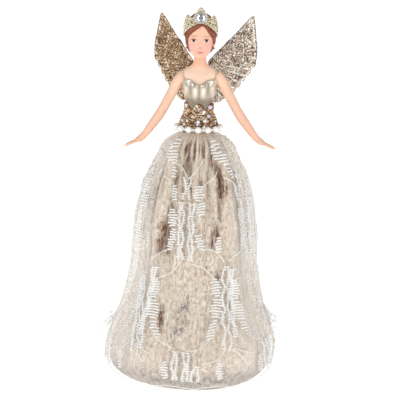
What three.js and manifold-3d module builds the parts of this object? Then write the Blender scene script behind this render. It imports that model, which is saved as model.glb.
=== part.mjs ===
// Fairy tree topper: a cast resin doll with glittered wings and a tiara, in a gathered lace skirt
// on a card cone that drops over the tip of a tree. Millimetres, +Z up. The doll faces -Y, so its
// left hand is on +X, and the origin is on the floor at the centre of the base ring.
import * as THREE from "three";
import { mergeVertices } from "three/addons/utils/BufferGeometryUtils.js";
import Module from "manifold-3d";

const wasm = await Module();
wasm.setup();

// Driving sizes
const beltHeight = 204.4; // floor to the middle of the pearl belt
const trunkHeight = 62.7; // seat on the plug to the top of the neck, inside the head
const shoulderHalf = 14.8; // half the width across the trunk at the shoulders
const headHeight = 33.7; // chin to the top of the skull
const headHalf = 10.2; // half the width of the head
const crownHeight = 12.1; // band edge to the point of the middle lobe
const hemRadius = 68; // widest part of the skirt, near the floor
const armReach = 61.4; // middle of the doll to the fingertips
const armDrop = 56.5; // shoulder joint down to the fingertips
const wingWidth = 47; // hinge to the tip of a wing
const wingHeight = 69; // lowest feather to the tip

// Fits
const gap = 0.3; // air between two pieces that touch
const overrun = 3; // how far a cutter runs past what it cuts
const weld = 0.0005; // points closer than this are one

// Colours, each with its roughness and metalness
const skinTone = { color: 0xf6cdb6, roughness: 0.5, metalness: 0 };
const hairTone = { color: 0x8f4a33, roughness: 0.45, metalness: 0 };
const champagne = { color: 0xc9b999, roughness: 0.3, metalness: 0.8 };
const crownGold = { color: 0xd8d2ae, roughness: 0.4, metalness: 0.6 };
const crystal = { color: 0xdfe8f2, roughness: 0.05, metalness: 0.1 };
const silver = { color: 0xc4c6c8, roughness: 0.25, metalness: 0.9 };
const pearlWhite = { color: 0xf4f1ea, roughness: 0.2, metalness: 0.1 };
const beadBronze = { color: 0xa98663, roughness: 0.25, metalness: 0.6 };
const laceCream = { color: 0xe6dfd4, roughness: 0.8, metalness: 0 };
const gauzeBeige = { color: 0xc0a88c, roughness: 0.9, metalness: 0 };
const netting = { color: 0xd9d2c8, roughness: 0.9, metalness: 0 };
const greyCard = { color: 0xd8cdb8, roughness: 0.85, metalness: 0 };
const wood = { color: 0xcaa877, roughness: 0.7, metalness: 0 };
const wire = { color: 0x9a9a98, roughness: 0.35, metalness: 0.9 };
const glitter = { color: 0xa98a66, roughness: 0.4, metalness: 0.7 };

const topper = new THREE.Group();

// Adds one named piece to the doll.
function place(name, geometry, look) {
  const mesh = new THREE.Mesh(geometry, new THREE.MeshStandardMaterial(look));
  mesh.name = name;
  topper.add(mesh);
}

// Six times the signed volume of a closed geometry, below zero where its faces point inwards.
function facing(points, index) {
  let total = 0;
  for (let i = 0; i < index.length; i += 3) {
    const [a, b, c] = [points[index[i]], points[index[i + 1]], points[index[i + 2]]];
    total += a.dot(new THREE.Vector3().crossVectors(b, c));
  }
  return total;
}

// A geometry from points and triangles, turned the right way out.
function geometryOf(points, index) {
  if (facing(points, index) < 0) index.reverse();
  const geometry = new THREE.BufferGeometry().setFromPoints(points);
  geometry.setIndex(index);
  geometry.computeVertexNormals();
  return geometry;
}

// One closed body over rings of points. Rings that loop close on themselves as a hoop does, and
// any others get a flat cap at both ends.
function skin(rings, loops = false) {
  const points = rings.flat();
  const around = rings[0].length;
  const index = [];
  const steps = loops ? rings.length : rings.length - 1;
  for (let i = 0; i < steps; i += 1)
    for (let j = 0; j < around; j += 1) {
      const next = ((i + 1) % rings.length) * around;
      const [a, b] = [i * around + j, i * around + ((j + 1) % around)];
      const [c, d] = [next + ((j + 1) % around), next + j];
      index.push(a, b, c, a, c, d);
      if (!loops && i === 0) index.push(b, a, points.length);
      if (!loops && i === steps - 1) index.push(d, c, points.length + 1);
    }
  if (!loops)
    for (const ring of [rings[0], rings[rings.length - 1]]) {
      const middle = new THREE.Vector3();
      ring.forEach((point) => middle.addScaledVector(point, 1 / around));
      points.push(middle);
    }
  return geometryOf(points, index);
}

// A closed geometry as a solid that can be joined and cut.
function solid(geometry) {
  const bare = geometry.index ? geometry.toNonIndexed() : geometry.clone();
  bare.deleteAttribute("normal");
  bare.deleteAttribute("uv");
  const merged = mergeVertices(bare, weld);
  const triVerts = new Uint32Array(merged.index.array);
  const vertProperties = merged.attributes.position.array;
  return new wasm.Manifold(new wasm.Mesh({ numProp: 3, vertProperties, triVerts }));
}

// A joined or cut solid as a geometry again.
function shapeOf(made) {
  const { numProp, numVert, vertProperties, triVerts } = made.getMesh();
  const points = [];
  for (let i = 0; i < numVert; i += 1)
    points.push(new THREE.Vector3(...vertProperties.subarray(i * numProp, i * numProp + 3)));
  return geometryOf(points, [...triVerts]);
}

// Smooth values at a share of the way through rows set by hand, each [share, value, value, ...].
function along(rows, share) {
  let i = 1;
  while (i < rows.length - 1 && share > rows[i][0]) i += 1;
  const before = rows[Math.max(i - 2, 0)];
  const [a, b] = [rows[i - 1], rows[i]];
  const after = rows[Math.min(i + 1, rows.length - 1)];
  const run = b[0] - a[0];
  const t = THREE.MathUtils.clamp((share - a[0]) / run, 0, 1);
  const ease = t * t * (3 - 2 * t);
  return a.slice(1).map((value, k) => {
    const leaving = ((b[k + 1] - before[k + 1]) / (b[0] - before[0])) * run;
    const arriving = ((after[k + 1] - a[k + 1]) / (after[0] - a[0])) * run;
    const curve = t * (1 - t) * (1 - t) * leaving - t * t * (1 - t) * arriving;
    return value + (b[k + 1] - value) * ease + curve;
  });
}

// A smooth rise from nothing to one and back, about as wide as its spread on each side.
function hill(distance, spread) {
  return Math.exp(-((distance / spread) ** 2));
}

// A point at an angle about the Z axis, where nothing faces the front and a quarter turn is +X.
function polar(angle, radius, z) {
  return new THREE.Vector3(radius * Math.sin(angle), -radius * Math.cos(angle), z);
}

// Angles all the way round, the front at the first and the back at the middle one.
function roundAngles(count) {
  return Array.from({ length: count }, (_, i) => (2 * Math.PI * i) / count);
}

// A piece turned about the Z axis, from [radius, z] corners in order round its section.
function turned(corners, segments) {
  const rings = roundAngles(segments).map((angle) => corners.map(([r, z]) => polar(angle, r, z)));
  return skin(rings, true);
}

// A solid turned about the Z axis, from [radius, z] corners up its outside.
function turnedSolid(corners, segments) {
  return skin(corners.map(([r, z]) => roundAngles(segments).map((angle) => polar(angle, r, z))));
}

// A round rod along Z between two heights.
function rod(radius, low, high, segments) {
  return turnedSolid([[radius, low], [radius, high]], segments);
}

// A round rod between two points.
function rodBetween(from, to, radius, segments) {
  const reach = to.clone().sub(from);
  const upward = new THREE.Vector3(0, 0, 1);
  const turn = new THREE.Quaternion().setFromUnitVectors(upward, reach.clone().normalize());
  const geometry = rod(radius, 0, reach.length(), segments).applyQuaternion(turn);
  return geometry.translate(from.x, from.y, from.z);
}

// A ball at a point, a little longer or flatter along each axis where its stretch says so.
function ball(centre, radius, around, down, stretch = new THREE.Vector3(1, 1, 1)) {
  const geometry = new THREE.SphereGeometry(radius, around, down).rotateX(Math.PI / 2);
  geometry.scale(stretch.x, stretch.y, stretch.z);
  return geometry.translate(centre.x, centre.y, centre.z);
}

// A round cord that follows a curve.
function cordOn(curve, radius, steps, sides) {
  const round = new THREE.Shape();
  round.absarc(0, 0, radius, 0, 2 * Math.PI);
  const disc = new THREE.Shape(round.getSpacedPoints(sides).slice(0, sides));
  return new THREE.ExtrudeGeometry(disc, { steps, bevelEnabled: false, extrudePath: curve });
}

// Card cone, its base ring and the turned plug that carries the doll
const roundSegments = 28;
const cardThickness = 1;
const baseRingThickness = 1.6;
const baseRingWidth = 12;
const coneBaseInset = 22; // foot of the cone inside the widest part of the skirt
const coneTopInset = 3.8; // top of the cone inside the shoulders, so that the hips cover it
const coneTopBelowBelt = 8.4;
const plugDepth = 12; // how far the plug reaches down inside the cone
const collarHeight = 6.7;
const collarOverhang = 0.3;
const dowelRadius = 3;
const dowelInPlug = 14;
const dowelInTrunk = 15;

const coneBaseRadius = hemRadius - coneBaseInset;
const coneTopRadius = shoulderHalf - coneTopInset;
const coneBase = baseRingThickness + gap;
const coneTop = beltHeight - coneTopBelowBelt;
const plugTop = coneTop + gap + collarHeight;
const trunkSeat = plugTop + gap;
const collarRadius = coneTopRadius + collarOverhang;
const coneSlope = (coneBaseRadius - coneTopRadius) / (coneTop - coneBase);

// The outer radius of the cone at a height.
function coneRadius(z) {
  return coneTopRadius + (coneTop - z) * coneSlope;
}

function makeCone() {
  const corners = [
    [coneBaseRadius, coneBase],
    [coneTopRadius, coneTop],
    [coneTopRadius - cardThickness, coneTop],
    [coneBaseRadius - cardThickness, coneBase],
  ];
  place("skirt_cone", turned(corners, roundSegments), greyCard);
  const outer = tuckRadius - gap;
  const inner = outer - baseRingWidth;
  const ring = [[outer, 0], [outer, baseRingThickness], [inner, baseRingThickness], [inner, 0]];
  place("base_ring", turned(ring, roundSegments), greyCard);
}

function makePlug() {
  const low = coneTop - plugDepth;
  const clear = cardThickness + gap;
  const corners = [
    [coneRadius(low) - clear, low],
    [coneTopRadius - clear, coneTop],
    [coneTopRadius - clear, coneTop + gap],
    [collarRadius, coneTop + gap],
    [collarRadius, plugTop],
  ];
  const body = solid(turnedSolid(corners, roundSegments));
  const half = roundSegments / 2;
  const bore = rod(dowelRadius + gap, plugTop - dowelInPlug - gap, plugTop + overrun, half);
  place("cone_plug", shapeOf(body.subtract(solid(bore))), wood);
  place("body_dowel", rod(dowelRadius, plugTop - dowelInPlug, trunkSeat + dowelInTrunk, half), wood);
}

// Skirt: one bell shape, worn in three layers that share their folds
const skirtSegments = 60;
const gatherBelowBelt = 3.2; // belt down to the cut edge of the gathers
const gatherNeck = 1.3; // height of the bound, upright part of the gathers
const petticoatThickness = 0.6;
const underskirtThickness = 1;
const laceThickness = 0.8;
const underskirtInset = 2.4; // underskirt inside the lace
const petticoatSegments = 20;
const petticoatEase = 0.7; // petticoat inside the valleys of the underskirt
const petticoatShoulderDrop = 3.6; // top of the lace's slope down to the petticoat's
const underskirtShoulderDrop = 1.6;
const petticoatHemHeight = 14;
const foldDepth = 2.4; // from the middle of a fold to its peak
const foldCount = 8;
const pleatDepth = 1.25; // from the middle of a softer pleat, between the folds, to its peak
const pleatCount = 15;
const pleatSinkShare = 0.4; // how far their middle lies under the cloth, in units of their depth
const swellDepth = 5.5; // how much the cloth stands out further on the doll's right
const laceHemHeight = 8;
const scallopCount = 12;
const scallopDepth = 2.4;
const hemTuckHeight = 0.7; // height of the tucked edge over the floor
const tieRadius = 0.5; // thread that binds the gathers

const gatherTop = beltHeight - gatherBelowBelt;
const skirtHeight = gatherTop - gatherNeck;

// [height share of the skirt, radius share of the hem] up the outside of the bell
const bellShares = [
  [0.003, 0.79],
  [0.012, 0.87],
  [0.03, 0.935],
  [0.065, 0.985],
  [0.11, 1],
  [0.15, 0.99],
  [0.2, 0.945],
  [0.25, 0.893],
  [0.3, 0.847],
  [0.355, 0.81],
  [0.405, 0.782],
  [0.455, 0.764],
  [0.555, 0.748],
  [0.605, 0.737],
  [0.655, 0.72],
  [0.705, 0.697],
  [0.755, 0.664],
  [0.805, 0.623],
  [0.855, 0.567],
  [0.905, 0.496],
  [0.953, 0.423],
  [0.978, 0.35],
  [1, 0.235],
];

// [height share, depth share] of the folds: flat at the tucked hem, deepest above it
const foldShares = [
  [0, 0],
  [0.05, 0.3],
  [0.15, 0.75],
  [0.4, 1],
  [0.75, 0.9],
  [0.93, 0.45],
  [1, 0.15],
];

// [height share, depth share] of the pleats, which die out lower down
const pleatShares = [
  [0, 0],
  [0.2, 0.12],
  [0.4, 0.5],
  [0.63, 1],
  [0.8, 1],
  [0.93, 0.5],
  [1, 0.1],
];

// [height share, depth share] of that swell
const swellShares = [
  [0, 0],
  [0.04, 0.2],
  [0.1, 0.4],
  [0.24, 0.9],
  [0.43, 1],
  [0.63, 0.4],
  [0.8, 0.15],
  [0.91, 0],
  [1, 0],
];

// Height shares of the rows of points that every layer has above its hem, from the gathers down
const skirtRowShares = [0.965, 0.91, 0.8, 0.63, 0.43, 0.24, 0.155, 0.1];

// The petticoat is plain and lies just inside the valleys of the underskirt.
const valleyDepth = 2 * foldDepth + (1 + pleatSinkShare) * pleatDepth;
const petticoatInset = underskirtInset + underskirtThickness + valleyDepth + petticoatEase;
const petticoatNeck = collarRadius + gap + petticoatThickness;
const underskirtNeck = petticoatNeck + gap + underskirtThickness;
const laceNeck = underskirtNeck + gap + laceThickness;

// The radius of the outside of the bell at a height, before its folds.
function bellRadius(z) {
  return hemRadius * along(bellShares, z / skirtHeight)[0];
}

const tuckRadius = bellRadius(hemTuckHeight) - underskirtInset - underskirtThickness;

// How far the cloth lies from a peak of its folds at an angle and height, in units of the depth.
// The peaks on both axes reach the full radius.
function foldAt(angle) {
  const drift = 0.55 * Math.sin(2 * angle) + 0.35 * Math.sin(6 * angle);
  const gathers = Math.cos(foldCount * angle + drift);
  const sway = Math.cos((foldCount / 2) * angle);
  return 0.75 * gathers + 0.25 * sway - 1;
}

// The soft pleats between the folds, in units of their depth.
function pleatAt(angle) {
  return Math.cos(pleatCount * angle + 1.3 * Math.sin(3 * angle)) - pleatSinkShare;
}

// How much of the swell the cloth has at an angle.
function swellAt(angle) {
  return Math.max(0, -Math.sin(angle)) ** 2;
}

// A layer of cloth all the way round, closed along its cut edges. Each column runs down its
// outer face and back up its inner one.
function clothLayer({ inset, thickness, depth, pleats, swell, neck, drop, low, segments, lift }) {
  const shoulder = skirtHeight - drop;
  const heights = skirtRowShares.map((share) => share * skirtHeight);
  const columns = roundAngles(segments).map((angle) => {
    const outer = [[neck, gatherTop], [neck, shoulder]];
    const inner = [[neck - thickness, gatherTop], [neck - thickness, shoulder - thickness]];
    for (const z of [...heights, low]) {
      const slope = (bellRadius(z + gap) - bellRadius(z - gap)) / (2 * gap);
      const lean = Math.hypot(1, slope);
      const fold = depth * along(foldShares, z / skirtHeight)[0] * foldAt(angle);
      const pleat = pleats * along(pleatShares, z / skirtHeight)[0] * pleatAt(angle);
      const out = swell * along(swellShares, z / skirtHeight)[0] * swellAt(angle);
      const r = Math.max(bellRadius(z) - inset + fold + pleat + out, neck);
      const rise = z === low ? lift(angle) : 0;
      outer.push([r, z + rise]);
      inner.push([Math.max(r - thickness / lean, neck - thickness), z + rise + (thickness * slope) / lean]);
    }
    return [...outer, ...inner.reverse()].map(([r, z]) => polar(angle, r, z));
  });
  return skin(columns, true);
}

function makeSkirt() {
  const level = () => 0;
  const petticoat = {
    inset: petticoatInset,
    thickness: petticoatThickness,
    depth: 0,
    pleats: 0,
    swell: 0,
    neck: petticoatNeck,
    drop: petticoatShoulderDrop,
    low: petticoatHemHeight,
    segments: petticoatSegments,
    lift: level,
  };
  const underskirt = {
    inset: underskirtInset,
    thickness: underskirtThickness,
    depth: foldDepth,
    pleats: pleatDepth,
    swell: swellDepth,
    neck: underskirtNeck,
    drop: underskirtShoulderDrop,
    low: hemTuckHeight,
    segments: skirtSegments,
    lift: level,
  };
  const lace = {
    inset: 0,
    thickness: laceThickness,
    depth: foldDepth,
    pleats: pleatDepth,
    swell: swellDepth,
    neck: laceNeck,
    drop: 0,
    low: laceHemHeight,
    segments: skirtSegments,
    lift: (angle) => scallopDepth * Math.abs(Math.sin((scallopCount * angle) / 2)),
  };
  place("petticoat", clothLayer(petticoat), netting);
  place("underskirt", clothLayer(underskirt), gauzeBeige);
  place("lace_overskirt", clothLayer(lace), laceCream);
  const tieHeight = gatherTop - gatherNeck / 2;
  const tie = new THREE.TorusGeometry(laceNeck + gap + tieRadius, tieRadius, 5, roundSegments);
  place("waist_tie", tie.translate(0, 0, tieHeight), laceCream);
}

// Trunk: hips to neck in one casting, with a socket for the dowel and one for each arm
const trunkSegments = 24;
const bustDepth = 2.1;
const bustAcross = 6.1; // middle of the chest to the point of a cup
const bustSpread = 4.6;
const bustRise = 5.2;
const bustBelowNeck = 29.3; // top of the neck down to the cups
const armPegRadius = 1.6;
const armPegDepth = 5;

const trunkTop = trunkSeat + trunkHeight;
const bustHeight = trunkTop - bustBelowNeck;

// [height share, then half width, front and back depth as shares of the shoulder]
const trunkShares = [
  [0, 0.872, 0.872, 0.872],
  [0.059, 0.872, 0.872, 0.872],
  [0.107, 0.818, 0.743, 0.757],
  [0.193, 0.66, 0.57, 0.595],
  [0.266, 0.61, 0.495, 0.514],
  [0.34, 0.64, 0.495, 0.5],
  [0.426, 0.73, 0.555, 0.527],
  [0.533, 0.86, 0.622, 0.581],
  [0.633, 0.899, 0.595, 0.581],
  [0.689, 1, 0.534, 0.541],
  [0.729, 0.99, 0.446, 0.473],
  [0.754, 0.878, 0.378, 0.419],
  [0.78, 0.665, 0.331, 0.378],
  [0.817, 0.44, 0.304, 0.338],
  [0.864, 0.342, 0.291, 0.311],
  [0.931, 0.32, 0.277, 0.304],
  [1, 0.31, 0.277, 0.3],
];

// Height shares of the rings of points, closest over the chest
const trunkRingShares = [
  0, 0.059, 0.107, 0.193, 0.266, 0.305, 0.35, 0.385, 0.426, 0.48, 0.533, 0.585, 0.633, 0.689, 0.729, 0.754,
  0.78, 0.817, 0.864, 0.931, 1,
];

// A point on the trunk, or straight out from it by a distance.
function trunkPoint(angle, z, out = 0) {
  const shares = along(trunkShares, (z - trunkSeat) / trunkHeight);
  const [width, front, back] = shares.map((share) => share * shoulderHalf);
  const depth = Math.cos(angle) > 0 ? front : back;
  const normal = new THREE.Vector3(Math.sin(angle) / width, -Math.cos(angle) / depth, 0).normalize();
  const x = width * Math.sin(angle);
  const cups = hill(x - bustAcross, bustSpread) + hill(x + bustAcross, bustSpread);
  const swell = Math.cos(angle) > 0 ? bustDepth * cups * hill(z - bustHeight, bustRise) : 0;
  const point = new THREE.Vector3(x, -depth * Math.cos(angle) - swell * Math.cos(angle), z);
  return point.addScaledVector(normal, out);
}

function trunkBody(out, segments) {
  const rows = trunkRingShares.map((share) => trunkSeat + share * trunkHeight);
  return solid(skin(rows.map((z) => roundAngles(segments).map((angle) => trunkPoint(angle, z, out)))));
}

function makeTrunk() {
  const socketTop = trunkSeat + dowelInTrunk + gap;
  const dowelSocket = rod(dowelRadius + gap, trunkSeat - overrun, socketTop, roundSegments / 2);
  let body = trunkBody(0, trunkSegments).subtract(solid(dowelSocket));
  for (const side of [-1, 1]) body = body.subtract(solid(armPeg(side, gap)));
  place("trunk", shapeOf(body), skinTone);
}

// Bodice: a shaped sheath with a sweetheart neckline, two points at the waist and sewn seams
const bodiceThickness = 0.9;
const seamDepth = 0.3;

// [share of a half turn from the front, height share of the trunk] of its lower edge, which the
// beads follow too
const waistShares = [
  [0, 0.332],
  [0.09, 0.295],
  [0.17, 0.243],
  [0.25, 0.28],
  [0.36, 0.322],
  [0.5, 0.328],
  [1, 0.328],
];

// [share of a half turn from the front, height share of the trunk] of its neckline
const neckShares = [
  [0, 0.575],
  [0.05, 0.59],
  [0.1, 0.611],
  [0.17, 0.637],
  [0.27, 0.641],
  [0.38, 0.641],
  [0.5, 0.618],
  [0.75, 0.6],
  [1, 0.598],
];

// The height of an edge table at an angle, the same on both sides of the doll.
function edgeHeight(rows, angle) {
  const share = Math.acos(Math.cos(angle)) / Math.PI;
  return trunkSeat + trunkHeight * along(rows, share)[0];
}

// Seams run down the middle of the front, below each cup, at the sides and down the back.
function seamAt(angle) {
  const step = (2 * Math.PI) / trunkSegments;
  const seams = [0, 2 * step, Math.PI / 2, Math.PI];
  const turn = Math.acos(Math.cos(angle));
  return seams.some((seam) => Math.abs(turn - seam) < step / 2) ? seamDepth : 0;
}

// The bodice between two distances out from the trunk, its edges moved out by as much as asked.
function bodiceShell(insideOut, outsideOut, grow) {
  const columns = roundAngles(trunkSegments).map((angle) => {
    const low = edgeHeight(waistShares, angle) - grow;
    const high = edgeHeight(neckShares, angle) + grow;
    const between = trunkRingShares.slice(6, 12).map((share) => trunkSeat + share * trunkHeight);
    const rows = [low, ...between, high];
    const outer = rows.map((z) => trunkPoint(angle, z, outsideOut - seamAt(angle)));
    const inner = rows.map((z) => trunkPoint(angle, z, insideOut)).reverse();
    return [...outer, ...inner];
  });
  return skin(columns, true);
}

function makeBodice() {
  place("bodice", bodiceShell(gap, gap + bodiceThickness, 0), champagne);
}

// Shoulder straps: fine cords from the front of the bodice over the shoulder to its back
const strapRadius = 0.5;
const strapSteps = 12;
const strapEase = 0.15; // slack between a strap and the skin
const strapFrontAngle = 1.2;
const strapBackAngle = 2.1;
const strapRiseShare = 0.55; // how far up a strap's middle points lie
const strapTopShare = 0.753; // height share of the trunk where a strap crosses the shoulder

function strapCord(side, radius) {
  const lift = gap + strapRadius + strapEase;
  const front = side * strapFrontAngle;
  const back = side * strapBackAngle;
  const top = trunkSeat + strapTopShare * trunkHeight;
  const frontEnd = edgeHeight(neckShares, front) + gap;
  const backEnd = edgeHeight(neckShares, back) + gap;
  const crossing = trunkPoint((side * Math.PI) / 2, top).add(new THREE.Vector3(-side * lift, 0, 2.2 * lift));
  const path = new THREE.CatmullRomCurve3([
    trunkPoint(front, frontEnd, lift),
    trunkPoint(front, THREE.MathUtils.lerp(frontEnd, top, strapRiseShare), lift + 2 * gap),
    crossing,
    trunkPoint(back, THREE.MathUtils.lerp(backEnd, top, strapRiseShare), lift + 2 * gap),
    trunkPoint(back, backEnd, lift),
  ]);
  return cordOn(path, radius, strapSteps, 6);
}

function makeStraps() {
  place("strap_left", strapCord(1, strapRadius), champagne);
  place("strap_right", strapCord(-1, strapRadius), champagne);
}

// Arms: held out and down, the hands flat with the palms to the floor
const armSteps = 11;
const armSides = 8;
const fingerSides = 5;
const fingerSpreadAngle = 0.16; // how far the fingers fan out, in radians between neighbours
const fingerWidth = 1.8;
const fingerSpacing = 1.7; // from one finger to the next across the knuckles
const fingerThickness = 2.3;
const fingerDropShare = 0.8; // how much of the arm's slope the fingers keep
const thumbLength = 5.4;
const thumbWidth = 1.9;
const thumbTurnAngle = 0.7; // turned out from the arm, in radians
const thumbRootShare = 0.93; // place along the arm

const armSocketShare = 0.655; // height share of the trunk
const armSocketHeight = trunkSeat + armSocketShare * trunkHeight;

// [share of the way from the shoulder to the fingertips, drop share] of the middle line of the arm
const armLineShares = [
  [-0.0145, -0.035],
  [0.0816, 0.09],
  [0.1936, 0.265],
  [0.361, 0.515],
  [0.5191, 0.7],
  [0.664, 0.855],
  [0.7826, 0.922],
];

// [share of the arm, thickness and breadth as shares of the shoulder width]
const armGirthShares = [
  [0, 0.26, 0.21],
  [0.06, 0.3, 0.305],
  [0.2, 0.29, 0.3],
  [0.45, 0.26, 0.27],
  [0.6, 0.255, 0.26],
  [0.8, 0.175, 0.18],
  [0.87, 0.185, 0.19],
  [0.95, 0.17, 0.25],
  [1, 0.135, 0.24],
];

// [place across the knuckles, length share of a third of the hand] from the little finger
const fingerShares = [
  [-1.5, 0.74],
  [-0.5, 0.93],
  [0.5, 1],
  [1.5, 0.9],
];
const fingerLength = 10.8;

// The peg that holds an arm in the trunk, or its socket when it is grown.
function armPeg(side, grow) {
  const from = new THREE.Vector3(side * (shoulderHalf - armPegDepth - grow), 0, armSocketHeight);
  const to = new THREE.Vector3(side * (shoulderHalf + armPegRadius), 0, armSocketHeight);
  return rodBetween(from, to, armPegRadius + grow, 8);
}

// A limb of oval rings about stations of { at, thick, broad }, broad across the doll's depth.
function limb(stations, sides) {
  const across = new THREE.Vector3(0, 1, 0);
  const rings = stations.map(({ at, thick, broad }, i) => {
    const before = stations[Math.max(i - 1, 0)].at;
    const after = stations[Math.min(i + 1, stations.length - 1)].at;
    const tangent = after.clone().sub(before).normalize();
    const wide = across.clone().addScaledVector(tangent, -across.dot(tangent)).normalize();
    const up = new THREE.Vector3().crossVectors(wide, tangent);
    return roundAngles(sides).map((angle) =>
      at.clone().addScaledVector(up, thick * Math.cos(angle)).addScaledVector(wide, broad * Math.sin(angle)),
    );
  });
  return skin(rings);
}

// The middle line of an arm as a curve.
function armLine(side) {
  const points = armLineShares.map(([reach, drop]) => {
    const x = side * THREE.MathUtils.lerp(shoulderHalf, armReach, reach);
    return new THREE.Vector3(x, 0, armSocketHeight - drop * armDrop);
  });
  return new THREE.CatmullRomCurve3(points);
}

// One finger from the knuckles outwards, level with the hand.
function finger(knuckle, heading, length, width) {
  const shares = [
    [-0.25, 0.85],
    [0.5, 1],
    [0.86, 0.8],
    [1, 0.4],
  ];
  const stations = shares.map(([share, girth]) => ({
    at: knuckle.clone().addScaledVector(heading, length * share),
    thick: (girth * fingerThickness) / 2,
    broad: (girth * width) / 2,
  }));
  return solid(limb(stations, fingerSides));
}

function armSolid(side) {
  const line = armLine(side);
  const stations = Array.from({ length: armSteps + 1 }, (_, i) => {
    const share = i / armSteps;
    const [thick, broad] = along(armGirthShares, share).map((girth) => girth * shoulderHalf);
    return { at: line.getPoint(share), thick, broad };
  });
  let arm = solid(limb(stations, armSides));
  const knuckles = line.getPoint(1);
  const drop = line.getTangent(1).z * fingerDropShare;
  for (const [place, length] of fingerShares) {
    const turn = -place * fingerSpreadAngle;
    const heading = new THREE.Vector3(side * Math.cos(turn), Math.sin(turn), drop).normalize();
    const knuckle = knuckles.clone().add(new THREE.Vector3(0, -place * fingerSpacing, 0));
    arm = arm.add(finger(knuckle, heading, fingerLength * length, fingerWidth));
  }
  const thumbRoot = line.getPoint(thumbRootShare).add(new THREE.Vector3(0, -fingerWidth, 0));
  const thumbAside = side * Math.cos(thumbTurnAngle);
  const thumbHeading = new THREE.Vector3(thumbAside, -Math.sin(thumbTurnAngle), drop).normalize();
  return arm.add(finger(thumbRoot, thumbHeading, thumbLength, thumbWidth));
}

// Each arm is cut to the shoulder, the bodice and the strap, and pegs into the trunk.
function makeArms() {
  const bodice = solid(bodiceShell(-gap, gap + bodiceThickness + gap, gap));
  for (const [name, side] of [["arm_left", 1], ["arm_right", -1]]) {
    const strap = solid(strapCord(side, strapRadius + gap));
    const cut = armSolid(side).subtract(trunkBody(gap, trunkSegments)).subtract(bodice).subtract(strap);
    const [largest] = cut.decompose().sort((a, b) => b.volume() - a.volume());
    place(name, shapeOf(largest.add(solid(armPeg(side, 0)))), skinTone);
  }
}

// Head: a round doll's face, with ears, that sockets over the neck
const headSegments = 24;
const headCrowdingShare = 0.42; // how much closer its points lie round the face
const headCentreShare = 0.5;
const neckInHead = 5.8;

const chinHeight = trunkTop - neckInHead;
const headBack = 0.6; // the head's axis behind the neck's

// [height share of the head, then half width, front and back depth as shares of its half width]
const headShares = [
  [0, 0.36, 0.76, 0.5],
  [0.034, 0.53, 0.86, 0.58],
  [0.1, 0.7, 0.91, 0.68],
  [0.176, 0.83, 0.925, 0.8],
  [0.269, 0.92, 0.935, 0.94],
  [0.393, 0.97, 0.93, 1.06],
  [0.548, 1, 0.965, 1.12],
  [0.703, 0.97, 0.945, 1.1],
  [0.827, 0.85, 0.82, 0.96],
  [0.92, 0.62, 0.6, 0.71],
  [0.975, 0.36, 0.34, 0.42],
  [1, 0.14, 0.13, 0.16],
];

// Height shares of the rings of points, closest where the features are
const headRingShares = [
  0, 0.034, 0.07, 0.11, 0.145, 0.185, 0.23, 0.27, 0.32, 0.37, 0.41, 0.46, 0.52, 0.6, 0.68, 0.76, 0.83, 0.89,
  0.94, 0.975, 1,
];

// [side, height, spread to the side, spread in height, rise] of the features, the height as a
// share of the head's and the rest as shares of its half width
const featureShares = [
  [0, 0.236, 0.13, 0.1, 0.17],
  [0, 0.33, 0.1, 0.28, 0.07],
  [0, 0.15, 0.22, 0.05, 0.04],
  [0, 0.118, 0.16, 0.05, 0.04],
  [0, 0.055, 0.3, 0.14, 0.05],
  [0.52, 0.26, 0.3, 0.22, 0.04],
  [-0.52, 0.26, 0.3, 0.22, 0.04],
  [0.48, 0.41, 0.22, 0.14, -0.07],
  [-0.48, 0.41, 0.22, 0.14, -0.07],
];

// The angle of each point round the head, crowded towards the face.
function headAngles() {
  return roundAngles(headSegments).map((angle) => angle - headCrowdingShare * Math.sin(angle));
}

// A point on the head, or out from it by a distance along a line from its middle.
function headPoint(angle, share, out = 0) {
  const [width, front, back] = along(headShares, share).map((value) => value * headHalf);
  const depth = Math.cos(angle) > 0 ? front : back;
  const x = width * Math.sin(angle);
  let rise = 0;
  if (Math.cos(angle) > 0)
    for (const [side, height, sideSpread, heightSpread, lift] of featureShares) {
      const up = (share - height) * headHeight;
      rise += lift * hill(x - side * headHalf, sideSpread * headHalf) * hill(up, heightSpread * headHalf);
    }
  const point = new THREE.Vector3(x, headBack - (depth + rise * headHalf) * Math.cos(angle), 0);
  point.z = chinHeight + share * headHeight;
  const middle = new THREE.Vector3(0, headBack, chinHeight + headCentreShare * headHeight);
  return point.addScaledVector(point.clone().sub(middle).normalize(), out);
}

// The head as a closed form, out from its skin by a distance for each angle and height.
function headForm(outAt) {
  const angles = headAngles();
  const ring = (share) => angles.map((angle) => headPoint(angle, share, outAt(angle, share)));
  return skin(headRingShares.map(ring));
}

const earRadius = 1.5;
const earShare = 0.34;
const earStand = 0.9; // middle of the ear out from the cheek
const earStretch = new THREE.Vector3(0.7, 0.9, 1.8);

function earCentre(side) {
  return headPoint((side * Math.PI) / 2, earShare, earStand).add(new THREE.Vector3(0, earRadius, 0));
}

function makeHead() {
  let head = solid(headForm(() => 0));
  for (const side of [-1, 1]) head = head.add(solid(ball(earCentre(side), earRadius, 8, 6, earStretch)));
  place("head", shapeOf(head.subtract(trunkBody(gap, trunkSegments))), skinTone);
}

// Hair: swept back from an off-centre parting into a low bun
const hairThickness = 1.7;
const hairRamp = 1.5; // from the hairline to full thickness
const bunRadius = 6.2;
const bunShare = 0.43;
const bunStand = 3.9; // middle of the bun out from the back of the head
const bunStretch = new THREE.Vector3(1, 0.78, 0.95);

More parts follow.
